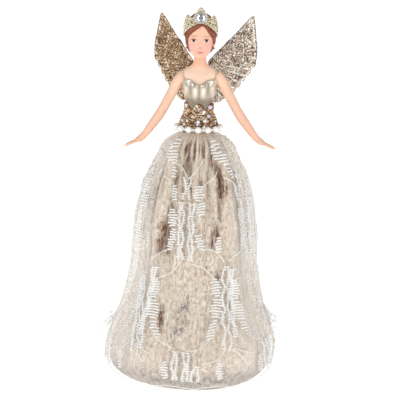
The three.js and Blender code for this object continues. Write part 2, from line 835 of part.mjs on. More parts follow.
// [share of a half turn, height share of the head] of the hairline, the doll's right to its left
const hairlineShares = [
  [-1, 0.05],
  [-0.75, 0.08],
  [-0.62, 0.14],
  [-0.55, 0.22],
  [-0.5, 0.3],
  [-0.44, 0.412],
  [-0.345, 0.498],
  [-0.24, 0.576],
  [-0.085, 0.681],
  [0.055, 0.758],
  [0.115, 0.709],
  [0.2, 0.604],
  [0.285, 0.517],
  [0.4, 0.43],
  [0.5, 0.334],
  [0.55, 0.23],
  [0.62, 0.14],
  [0.75, 0.08],
  [1, 0.05],
];

// How far the hair stands off the head, below nothing where there is only skin.
function hairOut(angle, share) {
  const turn = Math.atan2(Math.sin(angle), Math.cos(angle)) / Math.PI;
  const above = (share - along(hairlineShares, turn)[0]) * headHeight;
  return gap + hairThickness * THREE.MathUtils.clamp(above / hairRamp, -1, 1);
}

// Earrings: a small ball below each ear
const earringRadius = 0.7;
const earringOut = 0.5; // middle of an earring out from the middle of its ear

function earringCentre(side) {
  const lobe = earCentre(side).z - earRadius * earStretch.z;
  const centre = earCentre(side).setZ(lobe - gap - earringRadius);
  return centre.add(new THREE.Vector3(side * earringOut, 0, 0));
}

// The hair is hollowed to the head, and cut clear of the ears, the earrings and the neck.
function makeHair() {
  let hair = solid(headForm(hairOut));
  const bun = headPoint(Math.PI, bunShare, bunStand);
  hair = hair.add(solid(ball(bun, bunRadius, 12, 8, bunStretch)));
  let inside = solid(headForm(() => gap));
  for (const side of [-1, 1]) {
    inside = inside.add(solid(ball(earCentre(side), earRadius + gap, 8, 6, earStretch)));
    inside = inside.add(solid(ball(earringCentre(side), earringRadius + gap, 8, 6)));
  }
  const cut = hair.subtract(inside).subtract(trunkBody(gap, trunkSegments));
  const [largest] = cut.decompose().sort((a, b) => b.volume() - a.volume());
  place("hair", shapeOf(largest), hairTone);
}

function makeEarrings() {
  place("earring_left", ball(earringCentre(1), earringRadius, 8, 6), crownGold);
  place("earring_right", ball(earringCentre(-1), earringRadius, 8, 6), crownGold);
}

// Crown: a pierced tiara of three lobes, bent round the hair from behind one ear to the other
const crownThickness = 0.9;
const crownSpanShare = 0.62; // share of a half turn on each side
const crownSteps = 40;
const piercingRadius = 0.85;

// [share of a half turn, height share of the head] of its lower edge on the hair
const crownSeatShares = [
  [0, 0.776],
  [0.1, 0.757],
  [0.2, 0.7],
  [0.33, 0.61],
  [0.5, 0.533],
  [0.62, 0.475],
];

// [share of a half turn, height share of the crown] of its upper edge
const crownLobeShares = [
  [0, 1],
  [0.04, 0.94],
  [0.08, 0.8],
  [0.12, 0.63],
  [0.165, 0.54],
  [0.2, 0.54],
  [0.25, 0.74],
  [0.3, 0.95],
  [0.33, 0.96],
  [0.37, 0.84],
  [0.43, 0.7],
  [0.5, 0.56],
  [0.57, 0.42],
  [0.62, 0.3],
];

// [share of a half turn, height share of the lobe above it] of the piercings on each side
const piercingShares = [
  [0.115, 0.45],
  [0.19, 0.5],
  [0.26, 0.36],
  [0.31, 0.62],
  [0.36, 0.36],
  [0.44, 0.5],
  [0.52, 0.5],
];

// A point of the crown at a share of a half turn, a height share of its lobe and a depth through it.
function crownPoint(turn, rise, depth) {
  const away = Math.abs(turn);
  const foot = headPoint(turn * Math.PI, along(crownSeatShares, away)[0], gap + hairThickness + gap);
  const outward = new THREE.Vector3(foot.x, foot.y - headBack, 0).normalize();
  foot.z += rise * along(crownLobeShares, away)[0] * crownHeight;
  return foot.addScaledVector(outward, depth);
}

function makeCrown() {
  const turns = Array.from({ length: crownSteps + 1 }, (_, i) => crownSpanShare * ((2 * i) / crownSteps - 1));
  const sections = turns.map((turn) => [
    crownPoint(turn, 0, 0),
    crownPoint(turn, 0, crownThickness),
    crownPoint(turn, 1, crownThickness),
    crownPoint(turn, 1, 0),
  ]);
  let crown = solid(skin(sections));
  for (const side of [-1, 1])
    for (const [turn, rise] of piercingShares) {
      const from = crownPoint(side * turn, rise, -overrun);
      const to = crownPoint(side * turn, rise, crownThickness + overrun);
      crown = crown.subtract(solid(rodBetween(from, to, piercingRadius, 5)));
    }
  place("crown", shapeOf(crown), crownGold);
}

// Crown jewel: an oval cut stone in a cup on the middle lobe
const gemWidth = 7.2;
const gemHeight = 6.2;
const gemDepth = 2.2;
const gemSegments = 10;
const settingFloor = 0.6;
const settingWall = 0.55;
const settingDepth = 1.5;
const gemRiseShare = 0.36; // height share of the middle lobe

function makeGem() {
  const seat = crownPoint(0, gemRiseShare, crownThickness + gap);
  const half = gemWidth / 2;
  const oval = gemHeight / gemWidth;
  const stone = [
    [half * 0.35, settingFloor + gap],
    [half, settingDepth],
    [half * 0.62, settingFloor + gap + gemDepth],
  ];
  const inner = half + gap;
  const cup = [
    [inner + settingWall, 0],
    [inner + settingWall, settingDepth],
    [inner, settingDepth],
    [inner, settingFloor],
  ];
  const upright = (geometry) => {
    geometry.rotateX(Math.PI / 2).scale(1, 1, oval);
    return geometry.translate(seat.x, seat.y, seat.z);
  };
  place("crown_gem", upright(turnedSolid(stone, gemSegments)), crystal);
  place("gem_setting", upright(turnedSolid(cup, gemSegments)), silver);
}

// Bead band: a woven band round the hips, sewn all over with mixed beads
const bandThickness = 1;
const beadsRound = 24;
const beadRows = 4;
const beadStand = 1.5; // how far a bead stands off the band
const beadVariationShare = 0.2;
const bandOut = gap + bandThickness;

// Pearl belt: large pearls on a cord round the waist, with a small bead between each two
const pearlCount = 14;
const pearlRadius = 2.7;
const beltCordRadius = 0.4;
const beltCordSides = 6;
const pearlBore = 0.75;
const spacerRadius = 0.9;
const pearlSides = 8;
const pearlArcSteps = 5;

const beltRadius = trunkPoint(Math.PI / 2, trunkSeat).x + bandOut + gap + pearlRadius;

// Each bead is a point raised from four faces, in rows that step half a bead sideways.
function makeBeadBand() {
  const low = gatherTop + gap;
  const firstBead = beltHeight + pearlRadius;
  const inside = trunkRingShares.slice(1, 4).map((share) => trunkSeat + share * trunkHeight);
  const columns = roundAngles(2 * beadsRound).map((angle, j) => {
    const high = edgeHeight(waistShares, angle) - gap;
    const point = (z, out) => trunkPoint(angle, Math.max(z, trunkSeat), out).setZ(z);
    const outer = [point(low, bandOut), point(firstBead, bandOut)];
    for (let i = 1; i <= 2 * beadRows; i += 1) {
      const z = firstBead + ((high - firstBead) * i) / (2 * beadRows);
      const raised = i % 2 === 1 && ((i - 1) / 2 + j) % 2 === 0;
      const stand = beadStand * (1 + beadVariationShare * Math.sin(3 * j + 5 * i));
      outer.push(point(z, raised ? bandOut + stand : bandOut));
    }
    const inner = [low, ...inside, high].map((z) => point(z, gap)).reverse();
    return [...outer, ...inner];
  });
  place("bead_band", skin(columns, true), beadBronze);
}

// The cord is one ring that swells into a small bead halfway between each two pearls.
function makeBelt() {
  const pitch = (2 * Math.PI) / pearlCount;
  const beadHalf = spacerRadius / beltRadius;
  const sections = [];
  for (let i = 0; i < pearlCount; i += 1)
    for (const [offset, radius] of [
      [0, beltCordRadius],
      [pitch / 2 - beadHalf, beltCordRadius],
      [pitch / 2, spacerRadius],
      [pitch / 2 + beadHalf, beltCordRadius],
    ]) {
      const angle = i * pitch + offset;
      const ring = roundAngles(beltCordSides).map((turn) =>
        polar(angle, beltRadius + radius * Math.cos(turn), beltHeight + radius * Math.sin(turn)),
      );
      sections.push(ring);
    }
  place("belt_cord", skin(sections, true), pearlWhite);
  const mouth = Math.asin(pearlBore / pearlRadius);
  const section = Array.from({ length: pearlArcSteps + 1 }, (_, i) => {
    const turn = mouth + ((Math.PI - 2 * mouth) * i) / pearlArcSteps;
    return [pearlRadius * Math.sin(turn), pearlRadius * Math.cos(turn)];
  });
  for (let i = 0; i < pearlCount; i += 1) {
    const centre = polar(i * pitch, beltRadius, beltHeight);
    const bead = turned(section, pearlSides).rotateY(Math.PI / 2).rotateZ(i * pitch);
    const name = `pearl_${String(i + 1).padStart(2, "0")}`;
    place(name, bead.translate(centre.x, centre.y, centre.z), pearlWhite);
  }
}

// Wings: stiff glittered blades of layered feathers, each on an upright wire behind the shoulders
const wingThickness = 1.1;
const featherStep = 0.5; // how much each row of shorter feathers stands off the last, on each face
const featherCurve = 4; // straight stretches round one feather tip
const hingeAboveSeat = 36; // seat of the trunk up to the middle of the hinges
const wingSweepLeftAngle = 0.471; // swept back from straight out, as each was set by hand
const wingSweepRightAngle = 0.733;
const wingLeanLeftAngle = 0.045; // leant out at the top
const wingLeanRightAngle = -0.05;
const hingeApart = 3.4; // middle of the back to each wire
const hingeBehind = 4.2; // front of the bracket to the wires
const wireRadius = 0.6;
const sleeveRadius = 1.7;
const sleeveHeight = 12;
const tabLength = 7;
const lugThickness = 2;
const lugRim = 2; // wire to the edge of a lug
const bracketThickness = 1.6;
const bracketHalf = 6.2;

const hingeMiddle = trunkSeat + hingeAboveSeat;
const backHeights = trunkRingShares.map((share) => trunkSeat + share * trunkHeight);
const backDepth = Math.max(...backHeights.slice(6, 12).map((z) => trunkPoint(Math.PI, z).y));
const bracketFront = backDepth + gap + bodiceThickness + gap;
const hingeDepth = bracketFront + hingeBehind;
const wingClear = Math.hypot(lugRim, lugRim) + 3 * gap; // hinge line to the blade beside a lug
const wingHingeShare = 0.23; // height share of a wing where it is hinged

// [share of the width, share of the height] up the smooth front edge, from the lowest feather
const wingLeadShares = [
  [0.22, 0],
  [0.13, 0.05],
  [0.08, 0.12],
  [0.05, 0.3],
  [0.08, 0.46],
  [0.2, 0.545],
  [0.4, 0.668],
  [0.62, 0.815],
  [0.8, 0.945],
  [0.9, 1],
];

// [share of the width, share of the height, how round the tip above it is] between the feather
// tips, from the wing's tip down: three along the smooth end, then seven short ones
const wingTrailShares = [
  [0.9, 1, 0],
  [0.935, 0.87, 0.02],
  [0.975, 0.71, 0.02],
  [0.985, 0.47, 0.1],
  [0.89, 0.4, 0.45],
  [0.8, 0.315, 0.45],
  [0.71, 0.24, 0.45],
  [0.615, 0.165, 0.45],
  [0.52, 0.1, 0.45],
  [0.4, 0.045, 0.4],
  [0.22, 0, 0.32],
];

// [scale across, scale up] of each row of feathers, the longest first
const featherRowShares = [
  [1, 1],
  [0.74, 0.76],
  [0.46, 0.5],
];
const featherRootShare = [0.08, 0.44]; // the point that the rows shrink towards

// One row of feathers as a flat blade: the front edge, then a round tip for each feather down the
// back edge. It stands upright, with its hinge on the Z axis.
function featherBlade([scaleAcross, scaleUp], thickness) {
  const at = ([across, up]) => {
    const [rootAcross, rootUp] = featherRootShare;
    const x = (rootAcross + (across - rootAcross) * scaleAcross) * wingWidth;
    const y = (rootUp + (up - rootUp) * scaleUp - wingHingeShare) * wingHeight;
    return new THREE.Vector2(Math.max(x, wingClear), y);
  };
  const trail = wingTrailShares.map(at);
  const roundness = wingTrailShares.map((row) => row[2]);
  const outline = new THREE.Shape(wingLeadShares.map(at));
  for (let i = 1; i < trail.length; i += 1) {
    const chord = trail[i].clone().sub(trail[i - 1]);
    const bulge = new THREE.Vector2(-chord.y, chord.x).multiplyScalar(roundness[i]);
    const first = trail[i - 1].clone().add(bulge);
    const second = trail[i].clone().add(bulge);
    outline.bezierCurveTo(first.x, first.y, second.x, second.y, trail[i].x, trail[i].y);
  }
  const settings = { depth: thickness, bevelEnabled: false, curveSegments: featherCurve };
  const geometry = new THREE.ExtrudeGeometry(outline, settings);
  return solid(geometry.translate(0, 0, -thickness / 2).rotateX(Math.PI / 2));
}

function makeWing(name, side, sweep, lean) {
  let blade = null;
  featherRowShares.forEach((scale, i) => {
    const row = featherBlade(scale, wingThickness + 2 * featherStep * i);
    blade = blade ? blade.add(row) : row;
  });
  const leant = solid(shapeOf(blade).rotateY(lean));
  const half = sleeveHeight / 2;
  const tab = new THREE.BoxGeometry(tabLength, wingThickness, sleeveHeight - 2 * gap);
  tab.translate(tabLength / 2, 0, 0);
  const bore = solid(rod(wireRadius + gap, -half - overrun, half + overrun, 10));
  const wing = leant.add(solid(tab)).add(solid(rod(sleeveRadius, -half, half, 12))).subtract(bore);
  const turn = side > 0 ? sweep : Math.PI - sweep;
  place(name, shapeOf(wing).rotateZ(turn).translate(side * hingeApart, hingeDepth, hingeMiddle), glitter);
}

// The bracket sewn to the back of the bodice: a plate with a lug above and below the sleeves.
function makeBracket() {
  const lugFoot = sleeveHeight / 2 + gap;
  const plateHeight = 2 * (lugFoot + lugThickness);
  const plateBox = new THREE.BoxGeometry(2 * bracketHalf, bracketThickness, plateHeight);
  let bracket = solid(plateBox.translate(0, bracketFront + bracketThickness / 2, hingeMiddle));
  const lugDepth = hingeBehind + lugRim;
  for (const end of [-1, 1]) {
    const lug = new THREE.BoxGeometry(2 * (hingeApart + lugRim), lugDepth, lugThickness);
    lug.translate(0, bracketFront + lugDepth / 2, hingeMiddle + end * (lugFoot + lugThickness / 2));
    bracket = bracket.add(solid(lug));
  }
  const reach = lugFoot + lugThickness;
  for (const [name, side] of [["wing_wire_left", 1], ["wing_wire_right", -1]]) {
    const upright = (radius, past) =>
      rod(radius, -reach - past, reach + past, 10).translate(side * hingeApart, hingeDepth, hingeMiddle);
    bracket = bracket.subtract(solid(upright(wireRadius + gap, overrun)));
    place(name, upright(wireRadius, gap), wire);
  }
  place("wing_bracket", shapeOf(bracket), silver);
}

makeCone();
makePlug();
makeSkirt();
makeBelt();
makeBeadBand();
makeTrunk();
makeBodice();
makeStraps();
makeArms();
makeHead();
makeHair();
makeEarrings();
makeCrown();
makeGem();
makeBracket();
makeWing("wing_left", 1, wingSweepLeftAngle, wingLeanLeftAngle);
makeWing("wing_right", -1, wingSweepRightAngle, wingLeanRightAngle);

export default topper;
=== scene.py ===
import math

import bmesh
import bpy
import numpy as np
from mathutils import Matrix, Vector
from mathutils.bvhtree import BVHTree


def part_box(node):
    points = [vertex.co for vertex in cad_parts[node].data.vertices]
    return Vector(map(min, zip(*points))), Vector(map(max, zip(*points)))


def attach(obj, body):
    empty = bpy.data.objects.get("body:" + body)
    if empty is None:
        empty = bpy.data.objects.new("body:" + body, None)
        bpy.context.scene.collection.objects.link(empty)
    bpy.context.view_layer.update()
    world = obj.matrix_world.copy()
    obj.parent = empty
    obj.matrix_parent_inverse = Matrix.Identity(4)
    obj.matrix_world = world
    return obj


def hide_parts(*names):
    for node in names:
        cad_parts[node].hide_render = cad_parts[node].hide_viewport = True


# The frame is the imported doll, in metres: floor at z 0, facing -Y, its left hand on +X. Forms are
# worked out in millimetres, from the frame's own sizes, and become metres with their mesh.
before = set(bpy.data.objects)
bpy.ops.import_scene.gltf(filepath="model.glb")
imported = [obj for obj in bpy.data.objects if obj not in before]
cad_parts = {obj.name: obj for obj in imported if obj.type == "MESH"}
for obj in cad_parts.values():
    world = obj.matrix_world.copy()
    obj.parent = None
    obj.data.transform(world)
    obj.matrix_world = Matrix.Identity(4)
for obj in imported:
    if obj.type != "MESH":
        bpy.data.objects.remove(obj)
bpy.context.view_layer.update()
scene = bpy.context.scene
millimetre = 0.001


# Studio: one white sweep of floor under broad soft panels, as for a catalogue picture. The camera
# stands at the height and distance that the picture was taken from, tipped down at the doll.
camera_distance = 1.10
camera_height = 0.370
camera_tip = math.radians(11.582)
camera_roll = math.radians(1.45)
camera_lens = 124.45
camera_aside = 0.0028
floor_half = 12.0
floor_glow = 0.7
sky_strength = 0.38
# [place, size, power] of each soft panel, all aimed at the doll's chest
panels = [
    [(-1.15, -1.15, 1.05), 0.75, 9.6],
    [(1.25, -0.95, 0.75), 0.75, 6.0],
    [(0.1, 0.9, 1.5), 1.2, 3.0],
]
panel_aim = Vector((0, 0, 0.2))

camera = bpy.data.objects.new("camera", bpy.data.cameras.new("camera"))
scene.collection.objects.link(camera)
camera.data.lens = camera_lens
camera.data.sensor_width = 36
camera.location = (camera_aside, -camera_distance, camera_height)
tipped = Matrix.Rotation(math.pi / 2 - camera_tip, 4, "X") @ Matrix.Rotation(camera_roll, 4, "Z")
camera.rotation_euler = tipped.to_euler()
scene.camera = camera

for number, (place, size, power) in enumerate(panels):
    lamp = bpy.data.lights.new(f"panel_{number}", "AREA")
    lamp.shape = "SQUARE"
    lamp.size = size
    lamp.energy = power
    panel = bpy.data.objects.new(f"panel_{number}", lamp)
    panel.location = place
    panel.rotation_euler = (panel_aim - Vector(place)).to_track_quat("-Z", "Y").to_euler()
    scene.collection.objects.link(panel)

scene.world = bpy.data.worlds.new("sky")
scene.world.use_nodes = True
sky = scene.world.node_tree.nodes["Background"]
sky.inputs["Color"].default_value = (1, 1, 1, 1)
sky.inputs["Strength"].default_value = sky_strength
scene.view_settings.view_transform = "Standard"


class Value:
    """A socket that a shader expression is worked out from; each operator adds its Math node."""

    def __init__(self, finish, socket):
        self.finish = finish
        self.socket = socket

    def other(self, name):
        """Another output of the same node."""
        return Value(self.finish, self.socket.node.outputs[name])

    def math(self, operation, *others):
        return self.finish.math(operation, self, *others)

    def __add__(self, other):
        return self.math("ADD", other)

    def __sub__(self, other):
        return self.math("SUBTRACT", other)

    def __rsub__(self, other):
        return self.finish.math("SUBTRACT", other, self)

    def __mul__(self, other):
        return self.math("MULTIPLY", other)

    def __truediv__(self, other):
        return self.math("DIVIDE", other)

    def __pow__(self, other):
        return self.math("POWER", other)

    __radd__ = __add__
    __rmul__ = __mul__


class Finish:
    """A finish made of nodes only. Its constants go straight on the shader's own sockets."""

    def __init__(self, name, **constants):
        self.material = bpy.data.materials.new(name)
        self.material.use_nodes = True
        self.tree = self.material.node_tree
        self.tree.nodes.clear()
        shader = self.node("ShaderNodeBsdfPrincipled")
        self.shader = shader.socket.node
        self.node("ShaderNodeOutputMaterial", sockets={"Surface": shader})
        self.set(**constants)

    def node(self, kind, settings=None, sockets=None, output=0):
        """Any node: its settings, then the values and links of its sockets."""
        made = self.tree.nodes.new(kind)
        for name, value in (settings or {}).items():
            if name == "stops":
                ramp = made.color_ramp
                while len(ramp.elements) < len(value):
                    ramp.elements.new(1)
                for element, (position, colour) in zip(ramp.elements, value):
                    element.position = position
                    element.color = (*colour, 1)
            elif name == "interpolation":
                made.color_ramp.interpolation = value
            else:
                setattr(made, name, value)
        for name, value in (sockets or {}).items():
            self.join(value, made.inputs[name])
        return Value(self, made.outputs[output]) if made.outputs else None

    def join(self, value, socket):
        if isinstance(value, Value):
            self.tree.links.new(value.socket, socket)
        elif isinstance(value, tuple) and socket.type == "RGBA":
            socket.default_value = (*value[:3], 1)
        else:
            socket.default_value = value

    def set(self, **inputs):
        """Sets the shader's inputs, each named with _ for a space."""
        for name, value in inputs.items():
            self.join(value, self.shader.inputs[name.replace("_", " ")])

    def math(self, operation, *values):
        return self.node("ShaderNodeMath", {"operation": operation}, dict(enumerate(values)))

    def place(self):
        """Where a point of the piece is, in millimetres."""
        metres = self.node("ShaderNodeTexCoord", output="Object")
        return self.node("ShaderNodeVectorMath", {"operation": "SCALE"}, {0: metres, "Scale": 1000.0})

    def split(self, vector):
        x = self.node("ShaderNodeSeparateXYZ", sockets={0: vector})
        return x, x.other("Y"), x.other("Z")

    def joined(self, x, y, z):
        return self.node("ShaderNodeCombineXYZ", sockets={"X": x, "Y": y, "Z": z})

    def stretch(self, vector, x, y, z):
        """The same vector with each part scaled, so that a pattern is finer along it."""
        return self.node("ShaderNodeVectorMath", {"operation": "MULTIPLY"}, {0: vector, 1: (x, y, z)})

    def read(self, name):
        """A value that the mesh holds at each point."""
        return self.node("ShaderNodeAttribute", {"attribute_name": name}, output="Fac")

    def noise(self, vector, scale, detail=2.0, rough=0.5):
        sockets = {"Vector": vector, "Scale": scale, "Detail": detail, "Roughness": rough}
        return self.node("ShaderNodeTexNoise", None, sockets)

    def cells(self, vector, scale):
        """Distance to the middle of the nearest of many random cells, then its own colour."""
        return self.node("ShaderNodeTexVoronoi", None, {"Vector": vector, "Scale": scale})

    def ease(self, value, low, high):
        """Nothing at low and one at high, with soft ends."""
        sockets = {"Value": value, "From Min": low, "From Max": high}
        return self.node("ShaderNodeMapRange", {"interpolation_type": "SMOOTHSTEP"}, sockets)

    def mix(self, share, first, second):
        """A colour a share of the way from the first to the second."""
        mixer = self.tree.nodes.new("ShaderNodeMix")
        mixer.data_type = "RGBA"
        for index, value in ((0, share), (6, first), (7, second)):
            self.join(value, mixer.inputs[index])
        return Value(self, mixer.outputs[2])

    def coats(self, tone, *coats):
        """A tone with coats over it, each [how much of it shows, its colour]."""
        for share, colour in coats:
            tone = self.mix(share, tone, colour)
        return tone

    def ramp(self, value, stops, interpolation="LINEAR"):
        settings = {"stops": stops, "interpolation": interpolation}
        return self.node("ShaderNodeValToRGB", settings, {"Fac": value})

    def bump(self, height, distance, strength=1.0):
        """Relief from a height of nothing to one that is so many millimetres high."""
        sockets = {"Height": height, "Distance": distance * millimetre, "Strength": strength}
        self.set(Normal=self.node("ShaderNodeBump", None, sockets))


floor_finish = Finish("studio_white", Roughness=0.9, Emission_Strength=floor_glow)
floor_finish.set(Base_Color=(0.92, 0.92, 0.92), Emission_Color=(1.0, 1.0, 1.0))
floor_mesh = bpy.data.meshes.new("floor")
floor_corners = [(x * floor_half, y * floor_half, 0) for x, y in ((-1, -1), (1, -1), (1, 1), (-1, 1))]
floor_mesh.from_pydata(floor_corners, [], [(0, 1, 2, 3)])
floor = bpy.data.objects.new("floor", floor_mesh)
scene.collection.objects.link(floor)
floor.data.materials.append(floor_finish.material)


# Cone, base ring, plug and dowel: grey card rolled and glued with a lapped seam, a card ring for
# the hem, a turned wooden plug glued in the top of the cone, and the dowel that carries the doll.
round_columns = 96
card_lap = math.radians(16)
card_lap_step = 0.35
cone_edge_round = 0.3
ring_edge_round = 0.35


def corners_of(node):
    """The lowest and highest corner of a CAD node, in millimetres."""
    low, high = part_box(node)
    return np.array(low) / millimetre, np.array(high) / millimetre


def piece_from(name, points, faces, finish, smooth=True):
    """A mesh piece from points in millimetres."""
    mesh = bpy.data.meshes.new(name)
    mesh.from_pydata((np.asarray(points, float).reshape(-1, 3) * millimetre).tolist(), [], faces)
    mesh.polygons.foreach_set("use_smooth", [smooth] * len(mesh.polygons))
    mesh.materials.append(finish.material)
    piece = bpy.data.objects.new(name, mesh)
    scene.collection.objects.link(piece)
    return piece


def grid_faces(rows, columns, hooped=False):
    """Faces over rows of points. Columns close round the piece, and hooped rows close on the first."""
    row = np.arange(rows if hooped else rows - 1)[:, None]
    column = np.arange(columns)[None, :]
    after, beside = (row + 1) % rows, (column + 1) % columns
    this, following = row * columns, after * columns
    corners = [this + column, this + beside, following + beside, following + column]
    return np.stack(np.broadcast_arrays(*corners), axis=-1).reshape(-1, 4).tolist()


def face_out(piece):
    """Closes doubled points and turns every face outwards."""
    made = bmesh.new()
    made.from_mesh(piece.data)
    bmesh.ops.remove_doubles(made, verts=made.verts, dist=1e-6)
    bmesh.ops.recalc_face_normals(made, faces=made.faces)
    made.to_mesh(piece.data)
    made.free()
    return piece


def hooped_piece(name, rings, finish):
    """A piece round the doll whose last row of points closes on its first."""
    faces = grid_faces(len(rings), np.shape(rings)[1], hooped=True)
    return face_out(piece_from(name, rings, faces, finish))


def matched(*values):
    """The same values as floats, all of one shape."""
    return np.broadcast_arrays(*(np.asarray(value, float) for value in values))


def all_round(count):
    """So many even angles all the way round."""
    return np.linspace(0, 2 * np.pi, count, endpoint=False)


def polar(angle, radius, height):
    """Points about the doll's axis, where no angle is the front and a quarter turn is +X."""
    angle, radius, height = matched(angle, radius, height)
    return np.stack([radius * np.sin(angle), -radius * np.cos(angle), height], axis=-1)


def turned(name, section, finish, step=lambda angle: 0 * angle):
    """A piece turned round the doll's axis from [radius, height] corners, stepped out by angle."""
    angles = all_round(round_columns)
    rings = [polar(angles, radius + step(angles), height) for radius, height in section]
    return hooped_piece(name, rings, finish)


def rounded(section, edge):
    """The same closed section with each corner cut back a little, twice, so that it reads as round."""
    made = []
    for index, (radius, height) in enumerate(section):
        corner = np.array([radius, height])
        before, after = np.array(section[index - 1]), np.array(section[(index + 1) % len(section)])
        for end, near in ((before, 1.0), (before, 0.35), (after, 0.35), (after, 1.0)):
            run = end - corner
            length = np.linalg.norm(run)
            made.append(corner + run / length * min(edge, length / 2.5) * near)
    return made


def settle(piece, slot, *nodes, body="figure"):
    """Puts a finished piece under its body and hides the CAD nodes that it stands for; its finish slot is
    not used.
    """
    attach(piece, body)
    if nodes:
        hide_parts(*nodes)


card = Finish("grey_card", Roughness=0.88)
card_at = card.place()
card_fibre = card.noise(card.stretch(card_at, 1.0, 1.0, 0.35), 1.6, 6.0, 0.7)
card_fleck = card.ease(card.noise(card_at, 3.1, 3.0), 0.62, 0.72)
card_tone = card.mix(card_fibre, (0.50, 0.45, 0.37), (0.68, 0.63, 0.54))
card.set(Base_Color=card.mix(card_fleck * 0.5, card_tone, (0.36, 0.31, 0.25)))
card.bump(card_fibre, 0.25)

cone_low, cone_high = corners_of("skirt_cone")
cone_base_radius = cone_high[0]
cone_wall = 1.0
cone_top_radius = 11.0


def wall_section(low_radius, high_radius, width, low, high):
    """The [radius, height] corners of a wall that stands round the doll's axis."""
    return [[low_radius, low], [high_radius, high], [high_radius - width, high], [low_radius - width, low]]


def card_seam(angle):
    """The lapped edge stands off the card below it and eases away round the back."""
    past = (angle - np.pi) % (2 * np.pi)
    return -card_lap_step * np.clip(1 - past / card_lap, 0, 1)


cone_section = wall_section(cone_base_radius, cone_top_radius, cone_wall, cone_low[2], cone_high[2])
cone = turned("rolled_cone", rounded(cone_section, cone_edge_round), card, card_seam)
settle(cone, "card", "skirt_cone")

ring_low, ring_high = corners_of("base_ring")
ring_width = 12.0
ring_section = wall_section(ring_high[0], ring_high[0], ring_width, ring_low[2], ring_high[2])
hem_ring = turned("hem_ring", rounded(ring_section, ring_edge_round), card)
settle(hem_ring, "card", "base_ring")

wood = Finish("turned_wood", Roughness=0.62)
wood_at = wood.place()
wood_grain = wood.noise(wood.stretch(wood_at, 1.0, 1.0, 0.08), 0.9, 5.0, 0.6)
wood_ring = wood.node(
    "ShaderNodeTexWave",
    {"wave_type": "RINGS", "rings_direction": "Z"},
    {"Vector": wood_at, "Scale": 0.45, "Distortion": 3.0, "Detail": 2.0},
)
wood.set(Base_Color=wood.mix(wood_grain * 0.6 + wood_ring * 0.4, (0.36, 0.21, 0.10), (0.66, 0.47, 0.28)))
wood.bump(wood_grain, 0.12)
for node in ("cone_plug", "body_dowel"):
    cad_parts[node].data.materials[0] = wood.material


# Petticoat: plain stiff netting gathered on to the collar of the plug and standing out over the
# cone, so that the two skirts keep their bell shape. It ends above the floor.
lace_high = corners_of("lace_overskirt")[1]
hem_radius = lace_high[0]
gather_top = lace_high[2]
gather_neck = 1.3
skirt_height = gather_top - gather_neck
petticoat_neck = 12.4
petticoat_inset = 9.9
petticoat_hem_height = 14.0
petticoat_rows, petticoat_columns = 70, 180
petticoat_pleats = 30
petticoat_pleat_half = 0.7
petticoat_tuck = 3.0

# [height share of the skirt, radius share of the hem] up the outside of the bell
bell_shares = [
    [0.003, 0.79], [0.012, 0.87], [0.03, 0.935], [0.065, 0.985], [0.11, 1], [0.15, 0.99],
    [0.2, 0.945], [0.25, 0.893], [0.3, 0.847], [0.355, 0.81], [0.405, 0.782], [0.455, 0.764],
    [0.555, 0.748], [0.605, 0.737], [0.655, 0.72], [0.705, 0.697], [0.755, 0.664], [0.805, 0.623],
    [0.855, 0.567], [0.905, 0.496], [0.953, 0.423], [0.978, 0.35], [1, 0.235],
]


def along(table, share):
    """Smooth values at shares of the way through given rows, each [share, value, value, ...]."""
    rows = np.asarray(table, float)
    share = np.asarray(share, float)
    index = np.clip(np.searchsorted(rows[:, 0], share), 1, len(rows) - 1)
    first, last = rows[index - 1], rows[index]
    before, after = rows[np.maximum(index - 2, 0)], rows[np.minimum(index + 1, len(rows) - 1)]
    run = (last[..., 0] - first[..., 0])[..., None]
    t = np.clip((share - first[..., 0])[..., None] / run, 0, 1)
    leaving = (last - before)[..., 1:] / (last - before)[..., :1] * run
    arriving = (after - first)[..., 1:] / (after - first)[..., :1] * run
    curve = t * (1 - t) * ((1 - t) * leaving - t * arriving)
    values = first[..., 1:] + (last - first)[..., 1:] * t * t * (3 - 2 * t) + curve
    return values[..., 0] if rows.shape[1] == 2 else values


def hill(distance, spread):
    """A smooth rise from nothing to one and back."""
    return np.exp(-((distance / spread) ** 2))


def bell_radius(height):
    return hem_radius * along(bell_shares, np.asarray(height) / skirt_height)


def cloth_rings(low, neck, rows, columns, radius_at, lift=lambda angle: 0 * angle):
    """Rings of a skirt from its hem up to the bound gathers, and the angle and height of each point."""
    angles = all_round(columns)
    climb = np.linspace(0, 1, rows) ** 1.12
    heights = low + (skirt_height - low) * climb
    angle, height = np.meshgrid(angles, heights)
    raised = height + lift(angle) * np.clip(1 - (height - low) / (0.2 * skirt_height), 0, 1)
    radius = np.maximum(radius_at(angle, raised), neck)
    bound = polar(angles, neck, gather_top)[None]
    return np.concatenate([polar(angle, radius, raised), bound]), angle, raised


def skirt_piece(name, rings, finish):
    return face_out(piece_from(name, rings, grid_faces(len(rings), rings.shape[1]), finish))


def net_holes(finish, angle_scale, size, thread):
    """How much of a fine net is thread: crossed lines at a slant, soft so that they never shimmer."""
    x, y, z = finish.split(finish.place())
    turn = finish.math("ARCTAN2", x, 0 - y) * angle_scale
    lines = [finish.math("SINE", (z * lean + turn) * (math.pi / size)) for lean in (1, -1)]
    edges = [finish.ease(line * line, 1 - thread, 1.0) for line in lines]
    return finish.math("MAXIMUM", *edges)


netting = Finish("petticoat_net", Base_Color=(0.80, 0.74, 0.66), Roughness=0.8)
netting.set(Alpha=0.25 + 0.45 * net_holes(netting, 45.0, 1.5, 0.35))


def petticoat_radius(angle, height):
    flare = petticoat_pleat_half * (1 - height / skirt_height)
    return bell_radius(height) - petticoat_inset - flare * (1 + np.cos(petticoat_pleats * angle))


